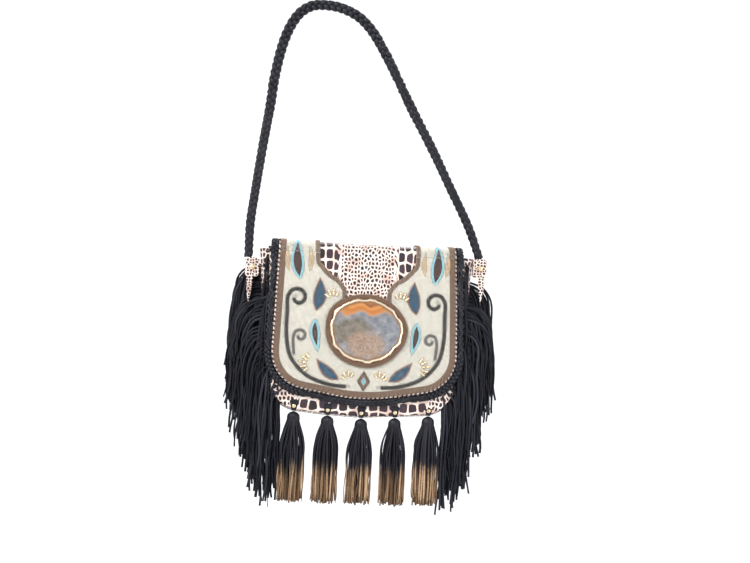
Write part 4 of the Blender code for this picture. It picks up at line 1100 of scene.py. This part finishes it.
# %% Border, window trim and collar
trim = BeadStore()
for k in range(6):
    trim.row(spaced(flap_outline(0.0028 + k * 0.00168), 400), COPPER, TRIM_OUT, metal=0.15)
dress(trim.build("border_beads", 7, 4), "flap", BEAD, "copper_bead")
for word, sign in (("left", 1), ("right", -1)):
    trim = BeadStore()
    for k in range(4):
        trim.row(window_edge(0.0009 + k * 0.0018) * [sign, 1], COPPER, TRIM_OUT, metal=0.15)
    dress(trim.build("window_beads_" + word, 7, 4), "flap", BEAD, "copper_bead")
trim = BeadStore()
for k in range(4):
    ring_line = stone_outline(0.0006 + 0.0009 + k * 0.00175)
    trim.row(np.vstack([ring_line, ring_line[:1]]), COPPER if k else RUST, STONE_OUT, metal=0.25)
ring_line = stone_outline(0.0080)
trim.row(np.vstack([ring_line, ring_line[:1]]), COPPER, 0.0076, metal=0.25)
dress(trim.build("collar_beads", 7, 4), "flap", BEAD, "copper_bead")
paint(nodes["agate_collar"], BROWN_GROUND)

# %% [markdown]
# The stone is a slice of agate: flat, polished, its rim left rough and gilded. Rings of points
# from the rim to the middle carry two values, the place on the slice and the way in from the rim.
# The finish lays a brown patch, a sugary middle and scalloped orange bands over grey, and a brown
# border along the rim.

# %% Agate
def agate_finish():
    finish = Finish("banded agate", Roughness=0.12, Specular_IOR_Level=0.55, Coat_Weight=0.6,
                    Coat_Roughness=0.05)
    spot = finish.field("slice", 1)
    rim = finish.field("rim", 2)
    place = finish.node("ShaderNodeSeparateXYZ", None, {0: spot}, 0)
    height = finish.node("ShaderNodeSeparateXYZ", None, {0: spot}, 1)
    warp = finish.noise(1.9, 4.0, spot, 0.55) - 0.5
    cloud = finish.noise(4.5, 5.0, spot, 0.6) - 0.5
    scallop = finish.node("ShaderNodeMath", {"operation": "SINE"}, {0: place * 9.5 + warp * 5.0})
    colour = finish.ramp(cloud + 0.5, (0.3, (0.085, 0.095, 0.112)), (0.5, (0.165, 0.170, 0.186)),
                         (0.72, (0.27, 0.26, 0.25)))

    def blot(x_middle, y_middle, wide, soft):
        """Full inside an oval patch of the slice, with an edge that wanders."""
        away_x, away_y = (place - x_middle) / wide, (height - y_middle) / (wide * 0.8)
        away = (away_x * away_x + away_y * away_y) ** 0.5 + warp * 0.9 + cloud * 0.5
        return 1 - finish.step(away, 1 - soft, 1 + soft)

    colour = finish.mix(blot(-0.42, -0.02, 0.52, 0.30) * 0.85, colour, finish.ramp(
        cloud + 0.5, (0.3, (0.065, 0.050, 0.030)), (0.6, (0.165, 0.135, 0.095))))
    middle = blot(0.02, -0.45, 0.52, 0.28)
    crystals = finish.node("ShaderNodeTexVoronoi", {"feature": "F1"}, {"Vector": spot, "Scale": 19.0})
    sparkle = finish.step(crystals, 0.10, 0.75) * 0.6 + cloud * 0.9
    sugar = finish.mix(sparkle, (0.20, 0.125, 0.075), (0.37, 0.265, 0.20))
    colour = finish.mix(middle * 0.9, colour, sugar)
    top = height + warp * 0.35 + scallop * 0.055
    bands = finish.ramp(top, (0.48, (0.34, 0.23, 0.17)), (0.56, (0.40, 0.17, 0.055)),
                        (0.66, (0.37, 0.115, 0.012)), (0.76, (0.48, 0.20, 0.045)),
                        (0.86, (0.19, 0.055, 0.012)), (1.0, (0.36, 0.15, 0.035)))
    colour = finish.mix(finish.step(top, 0.47, 0.56), colour, bands)
    border = 1 - finish.step(rim + warp * 0.10 + cloud * 0.06, 0.03, 0.10)
    colour = finish.mix(border, colour, (0.19, 0.095, 0.035))
    finish.give("Base Color", colour)
    finish.give("Roughness", 0.10 + middle * 0.10)
    return finish.material


AGATE = agate_finish()
AROUND, INNER = 220, 24
down = bend(0.0, 0.180, 0.0) - bend(0.0, 0.076, 0.0)
down /= np.linalg.norm(down)
away = np.array([0.0, down[2], -down[1]])
stone_middle = bend(0.0, STONE_RUN, 0.0049)


def slice_ring(grow, rise, rough):
    flat_ring = stone_outline(grow, AROUND) - [0.0, STONE_RUN]
    angle = np.linspace(0, 2 * math.pi, AROUND, endpoint=False)
    jag = 1 + rough * (np.sin(angle * 17 + 1.3) * 0.6 + np.sin(angle * 41) * 0.30
                       + np.sin(angle * 11 + 4) * 0.8)
    flat_ring = flat_ring * jag[:, None]
    return stone_middle + flat_ring[:, :1] * X_AXIS + flat_ring[:, 1:] * down + away * rise


levels = [(-0.0020, 0.0003, 0.002), (-0.0010, 0.0030, 0.006)]
levels += [(-0.0021 - 0.0579 * k / INNER, 0.0056 + 0.0002 * math.sin(k), 0.004 * (1 - k / INNER))
           for k in range(INNER)]
rings = [slice_ring(*level) for level in levels]
flat_rings = [(stone_outline(level[0], AROUND) - [0.0, STONE_RUN]) / STONE_HALF for level in levels]
where = np.concatenate([np.stack([ring[:, 0], -ring[:, 1], 0 * ring[:, 0]], axis=1)
                        for ring in flat_rings])
nearness = np.repeat([0.0, 0.0] + [k / INNER for k in range(INNER)], AROUND)
slice_stone = closed_rings("agate_stone", rings, {"slice": where, "rim": nearness})
dress(slice_stone, "flap", AGATE, "agate", "agate_slice")

RIM_PROFILE = [(-0.0016, 0.0010, 0.006), (0.0002, 0.0014, 0.014), (0.0008, 0.0034, 0.018),
               (0.0003, 0.0054, 0.018), (-0.0012, 0.0066, 0.014), (-0.0028, 0.0066, 0.014),
               (-0.0034, 0.0057, 0.010), (-0.0030, 0.0050, 0.006), (-0.0022, 0.0020, 0.004)]
rim_rings = [slice_ring(*level) for level in RIM_PROFILE]
rim = closed_rings("gilded_rim", rim_rings, tube=True)
dress(rim, "flap", GILDED_RIM, "gold_metal")

# %% [markdown]
# A three-strand plait: each strand swings from side to side once in a period, and dips twice, so
# it passes over one neighbour and under the next. The same rule, at two sizes, makes the lacing
# round the flap and the strap.

# %% Plaits
def plait(name, centre, across_way, face_way, wide, thick, strand_wide, strand_thick, period, ends=1.0):
    length = length_of(centre)
    count = int(length / period * 16)
    ends = np.broadcast_to(ends, len(centre))[:, None]
    line = spaced(np.hstack([centre, across_way, face_way, ends]), count)
    steps = np.linalg.norm(np.diff(line[:, :3], axis=0), axis=1)
    angle = 2 * math.pi * np.concatenate([[0.0], np.cumsum(steps)]) / period
    middle, side, face, full = line[:, :3], line[:, 3:6], line[:, 6:9], line[:, 9]
    paths, ways, sizes = [], [], []
    for k in range(3):
        now = angle + 2 * math.pi * k / 3
        swing = (wide - strand_wide) / 2 * np.sin(now) * full
        lift = (thick - strand_thick) / 2 * np.sin(2 * now) * full
        paths.append(middle + side * swing[:, None] + face * lift[:, None])
        ways.append(face + side * (0.35 * np.sin(now))[:, None])
        sizes.append(full)
    return sweep(name, paths, ways, strand_wide, strand_thick, 8, BLACK, sizes)


lace_flat = spaced(flap_outline(-0.0003 - 0.0065, 20), 600)
lace_heading = headings(lace_flat)
lace_centre = bend(lace_flat[:, 0], lace_flat[:, 1], 0.0016)
lace_out = faces_out(lace_flat[:, 1])
lace_across = lace_heading[:, 1:] * X_AXIS - lace_heading[:, :1] * way_down(lace_flat[:, 1])
lacing = plait("flap_lacing", lace_centre, lace_across, lace_out, 0.0135, 0.0080, 0.0062, 0.0042, 0.0225)
dress(lacing, "flap", BLACK, "black_leather", "edge_lacing")

# %% [markdown]
# Between the border and the plait, the flap's cream leather shows as a row of small points, where
# each turn of the lacing bites over its edge.

# %% Lacing bites
bite = curve_through(flap_outline(0.0004), 230)
paths, ways, sizes = [], [], []
for spot, way in zip(bite[2:-2:2], headings(bite)[2:-2:2]):
    side = np.array([way[1], -way[0]])
    flat_points = np.array([spot - side * 0.0022 - way * 0.0006, spot + side * 0.0002,
                            spot + side * 0.0034 + way * 0.0022])
    paths.append(bend(flat_points[:, 0], flat_points[:, 1], np.array([0.0033, 0.0049, 0.0040])))
    ways.append(faces_out(flat_points[:, 1]))
    sizes.append(np.array([1.0, 0.9, 0.45]))
bites = sweep("lacing_bites", paths, ways, 0.0026, 0.0010, 6, BLACK, sizes)
dress(bites, "flap", BLACK, "black_leather")

# %% [markdown]
# The strap is the same plait, thicker. It leaves the left sleeve, runs over the shoulder and comes
# down slanting to the right one, thinning towards both ends.

# %% Strap
STRAP_ROUTE = [
    (-0.1060, -0.4165), (-0.1058, -0.3620), (-0.1010, -0.3130), (-0.0914, -0.2310), (-0.0822, -0.1620),
    (-0.0782, -0.1210), (-0.0710, -0.0790), (-0.0628, -0.0480), (-0.0526, -0.0240), (-0.0395, -0.0055),
    (-0.0211, 0.0065), (0.0000, 0.0095), (0.0289, 0.0062), (0.0582, -0.0065), (0.0820, -0.0290),
    (0.1015, -0.0580), (0.1180, -0.0860), (0.1555, -0.1550), (0.1935, -0.2200), (0.2275, -0.2830),
    (0.2615, -0.3460), (0.2840, -0.4005)]
route = curve_through([(x_now, 0.0, z_now) for x_now, z_now in STRAP_ROUTE], 900)
face_way = np.tile([0.0, -1.0, 0.0], (len(route), 1))
across_way = np.cross(headings(route), face_way)
part = np.linspace(0, 1, len(route))
slim = 0.72 + 0.28 * np.clip(np.minimum(part, 1 - part) / 0.3, 0, 1)
strap = plait("strap_plait", route, across_way, face_way, 0.0185, 0.0115, 0.0088, 0.0064, 0.033, slim)
dress(strap, "bag", BLACK, "black_leather", "strap_braid")
print("strap length", round(length_of(route), 3), "m")

# %% Sleeves
for word in ("left", "right"):
    sleeve = softened("sleeve_leather_" + word, "strap_sleeve_" + word, 0.0007, 6)
    add_print(sleeve, 0.0048, 0.13)
    dress(sleeve, "bag", PRINTED, "croc_leather", "strap_sleeve_" + word)

# %% [markdown]
# The side fringe: strips cut from soft leather and sewn into the seams, one below the other. A
# strip springs out from its root, turns down and hangs, with its own slow waves and its own end.
# The strips that start highest hang outermost, so the fringe's outline swells and then steps in.

# %% Fringe strands
TONGUE_DROP, BEHIND_TONGUE = 0.082, 0.0195
FRINGE_PITCH, FULLEST_REACH = 0.0062, 0.0585
COMBS = {"front": ((-0.0005, 0.0022, 0.0050), 0.0, 0.08), "middle": ((-0.011, 0.0, 0.009), 0.026, 0.45),
         "back": ((0.0165, 0.0195, 0.0222), 0.0, 0.78)}


def strand_path(root_x, root_drop, depth, reach, length, seed, side, points=22):
    gen = np.random.default_rng(seed)
    along = np.linspace(0, length, points)
    out = reach * (1 - np.exp(-along / (0.008 + 0.27 * reach)))
    slope = np.gradient(out, along)
    fall = np.concatenate([[0.0], np.cumsum(np.sqrt(np.clip(1 - slope[1:] ** 2, 0.2, 1)) * np.diff(along))])
    free = np.clip(along / 0.05, 0, 1)
    sway = np.sin(along * gen.uniform(28, 75) + gen.uniform(0, 6.3)) * gen.uniform(0.0008, 0.0028) * free
    sway += gen.normal(0, 0.0055) * np.clip(along / length, 0, 1) ** 1.5
    sway_y = np.sin(along * gen.uniform(25, 50) + gen.uniform(0, 6.3)) * 0.0012 * free
    x_now = BAG_X + side * (root_x + out) + sway
    y_now = depth + sway_y - gen.uniform(0.002, 0.009) * free
    if root_drop < TONGUE_DROP:
        y_now += max(0.0, BEHIND_TONGUE - depth) * np.clip((out - 0.004) / 0.009, 0, 1)
    z_now = MOUTH_Z - (root_drop + fall)
    path = np.stack([x_now, y_now, z_now], axis=1)
    twist = gen.normal(0, 0.5) + np.cumsum(gen.normal(0, 0.16, points))
    face = np.stack([np.sin(twist) * 0.8, -np.cos(twist), np.zeros(points)], axis=1)
    return path, face


def seam_x(drop_now):
    return 0.165 - 0.015 * min(drop_now, 0.217) / 0.264


def hang(comb, path, face, full, tone):
    """Add one strand to a comb's lists: its path, the way it faces, its breadth and its tone."""
    for column, entry in zip(comb, (path, face, np.full(len(path), full), np.full(len(path), tone))):
        column.append(entry)


def side_fringe(side):
    """The combs of one side. Each has the depths of its layers, a lower start and a least fullness."""
    combs = {word: ([], [], [], []) for word in COMBS}
    seed = 100 if side < 0 else 500
    for word, (layers, lower, least) in COMBS.items():
        for layer, depth in enumerate(layers):
            first = 0.030 + (0.012 if side > 0 else 0.0) + lower + layer * 0.004
            for number in range(34):
                root = first + number * FRINGE_PITCH
                if root > 0.236:
                    continue
                seed += 1
                gen = np.random.default_rng(seed)
                y = depth
                if word == "front":
                    y = float(along_side(run_at_drop(min(root, 0.25), PANEL_OUT), SIDE)[0]) + 0.0050 + depth
                corner = max(0.0, root - 0.212)
                swell_now = (0.016 - 0.010 * min(root / 0.275, 1)) * (0.9 if word == "middle" else 0.0)
                root_x = seam_x(root) + 0.0015 + swell_now - corner * 0.9
                reach = FULLEST_REACH * min(1.0, (0.290 - root) / 0.190) * gen.uniform(least, 1.05)
                reach = max(reach - (0.010 if word == "middle" else 0.0), 0.003)
                length = 0.174 + gen.normal(0, 0.009) + 0.014 * np.clip((root - 0.17) / 0.04, 0, 1)
                strand = strand_path(root_x, root, y, reach, length, seed, side)
                hang(combs[word], *strand, gen.uniform(0.85, 1.1), gen.uniform(0, 1))
        if word == "front":
            for number in range(32):
                seed += 1
                gen = np.random.default_rng(seed)
                if number < 14:
                    x_root = 0.147 - 0.0010 * number
                    y = front_bow(0.255) + 0.013 + 0.005 * (number % 2)
                    start = (x_root, 0.262 - (x_root - 0.112) * 0.9, y, 0.002)
                else:
                    root = 0.014 + 0.0042 * (number - 14)
                    y = float(along_side(run_at_drop(root + 0.01, PANEL_OUT), SIDE)[0]) + 0.004
                    start = (seam_x(root) + 0.0015, root, y, gen.uniform(0.002, 0.015))
                strand = strand_path(*start, 0.158 + gen.normal(0, 0.007), seed, side)
                hang(combs[word], *strand, 1.0, gen.uniform(0, 1))
    return combs


for word_side, side in (("left", -1), ("right", 1)):
    for word, (paths, faces_to, full, shade) in side_fringe(side).items():
        name = "fringe_{}_{}".format(word_side, word)
        made = sweep(name, paths, faces_to, 0.0034, 0.0013, 4, STRAND, full, {"shade": shade})
        dress(made, "bag", STRAND, "black_leather", "side_" + name)

# %% [markdown]
# The five front tassels: a tab with a gold stud, a rolled head, and strips that fall from it. The
# strips share a ring under the head and spread as they fall. Each tassel hangs from the foot of its
# tab, and swings there.

# %% Tassels
TASSEL_RINGS = ((27, 1.0, 0.012), (21, 0.74, 0.014), (14, 0.48, 0.018), (7, 0.22, 0.020))
CAP_PROFILE = ((0.0005, 0.05), (0.0026, 0.46), (0.0060, 0.78), (0.0100, 0.86), (0.0140, 0.87), (0.0165, 0.84),
               (0.0180, 0.76), (0.0195, 0.84), (0.0225, 0.90), (0.0250, 0.86), (0.0256, 0.5))
STEPS_DOWN, AROUND_CAP = 18, 40

for number in range(1, 6):
    low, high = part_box("tassel_head_%d" % number)
    pivot = np.array([(low[0] + high[0]) / 2, (low[1] + high[1]) / 2, high[2] + 0.0006])
    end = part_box("tassel_strands_%d" % number)[0][2]
    gen = np.random.default_rng(40 + number)
    comb, length_field = ([], [], [], []), []
    for ring_number, (count, spread, start_drop) in enumerate(TASSEL_RINGS):
        for k in range(count):
            angle = 2 * math.pi * (k + 0.5 * ring_number) / count + gen.normal(0, 0.06)
            total = (pivot[2] - start_drop) - (end + abs(gen.normal(0, 0.0055)))
            fall = np.linspace(0, 1, STEPS_DOWN)
            open_out = np.clip(fall / 0.42, 0, 1)
            half_x = (0.0088 + 0.0127 * open_out ** 1.2 * (2.2 - 1.2 * open_out) - 0.0012 * fall) * spread
            half_y = half_x * (0.68 - 0.12 * fall)
            swing = gen.normal(0, 0.0014) * np.sin(fall * gen.uniform(3, 10) + gen.uniform(0, 6))
            swing *= np.clip(fall * 4, 0, 1)
            path = np.stack([pivot[0] + np.cos(angle) * half_x + swing,
                             pivot[1] + np.sin(angle) * half_y + swing * 0.6,
                             pivot[2] - start_drop - total * fall], axis=1)
            outward = np.tile([math.cos(angle) * 0.7, math.sin(angle), 0.0], (STEPS_DOWN, 1))
            hang(comb, path, outward + gen.normal(0, 0.15, 3), gen.uniform(0.8, 1.1), gen.uniform(0, 1))
            length_field.append(fall)
    paths, faces_to, full, shade = comb
    strands = sweep("tassel_fall_%d" % number, paths, faces_to, 0.0027, 0.0011, 4, DIPPED, full,
                    {"shade": shade, "length": length_field})
    dress(strands, "tassel_%d" % number, DIPPED, "tassel_leather", "tassel_strands_%d" % number)

    angle = np.linspace(0, 2 * math.pi, AROUND_CAP, endpoint=False)
    pleat = 1 + 0.045 * np.sin(angle * 9 + number) + 0.02 * np.sin(angle * 5)
    rings = [pivot + np.stack([np.cos(angle) * 0.0120 * size * pleat,
                               np.sin(angle) * 0.0120 * 0.72 * size * pleat,
                               np.full(AROUND_CAP, -drop_now)], axis=1) for drop_now, size in CAP_PROFILE]
    head = closed_rings("tassel_cap_%d" % number, rings)
    dress(head, "tassel_%d" % number, BLACK, "black_leather", "tassel_head_%d" % number)
    tab = softened("tassel_strap_%d" % number, "tassel_tab_%d" % number, 0.00035, 2)
    dress(tab, "bag", BLACK, "black_leather", "tassel_tab_%d" % number)

# %% Metal
studs = ["snap_socket", "snap_stud", "sleeve_stud_left", "sleeve_stud_right"]
for name in studs + ["tassel_stud_%d" % k for k in range(1, 6)]:
    paint(nodes[name], GOLD)
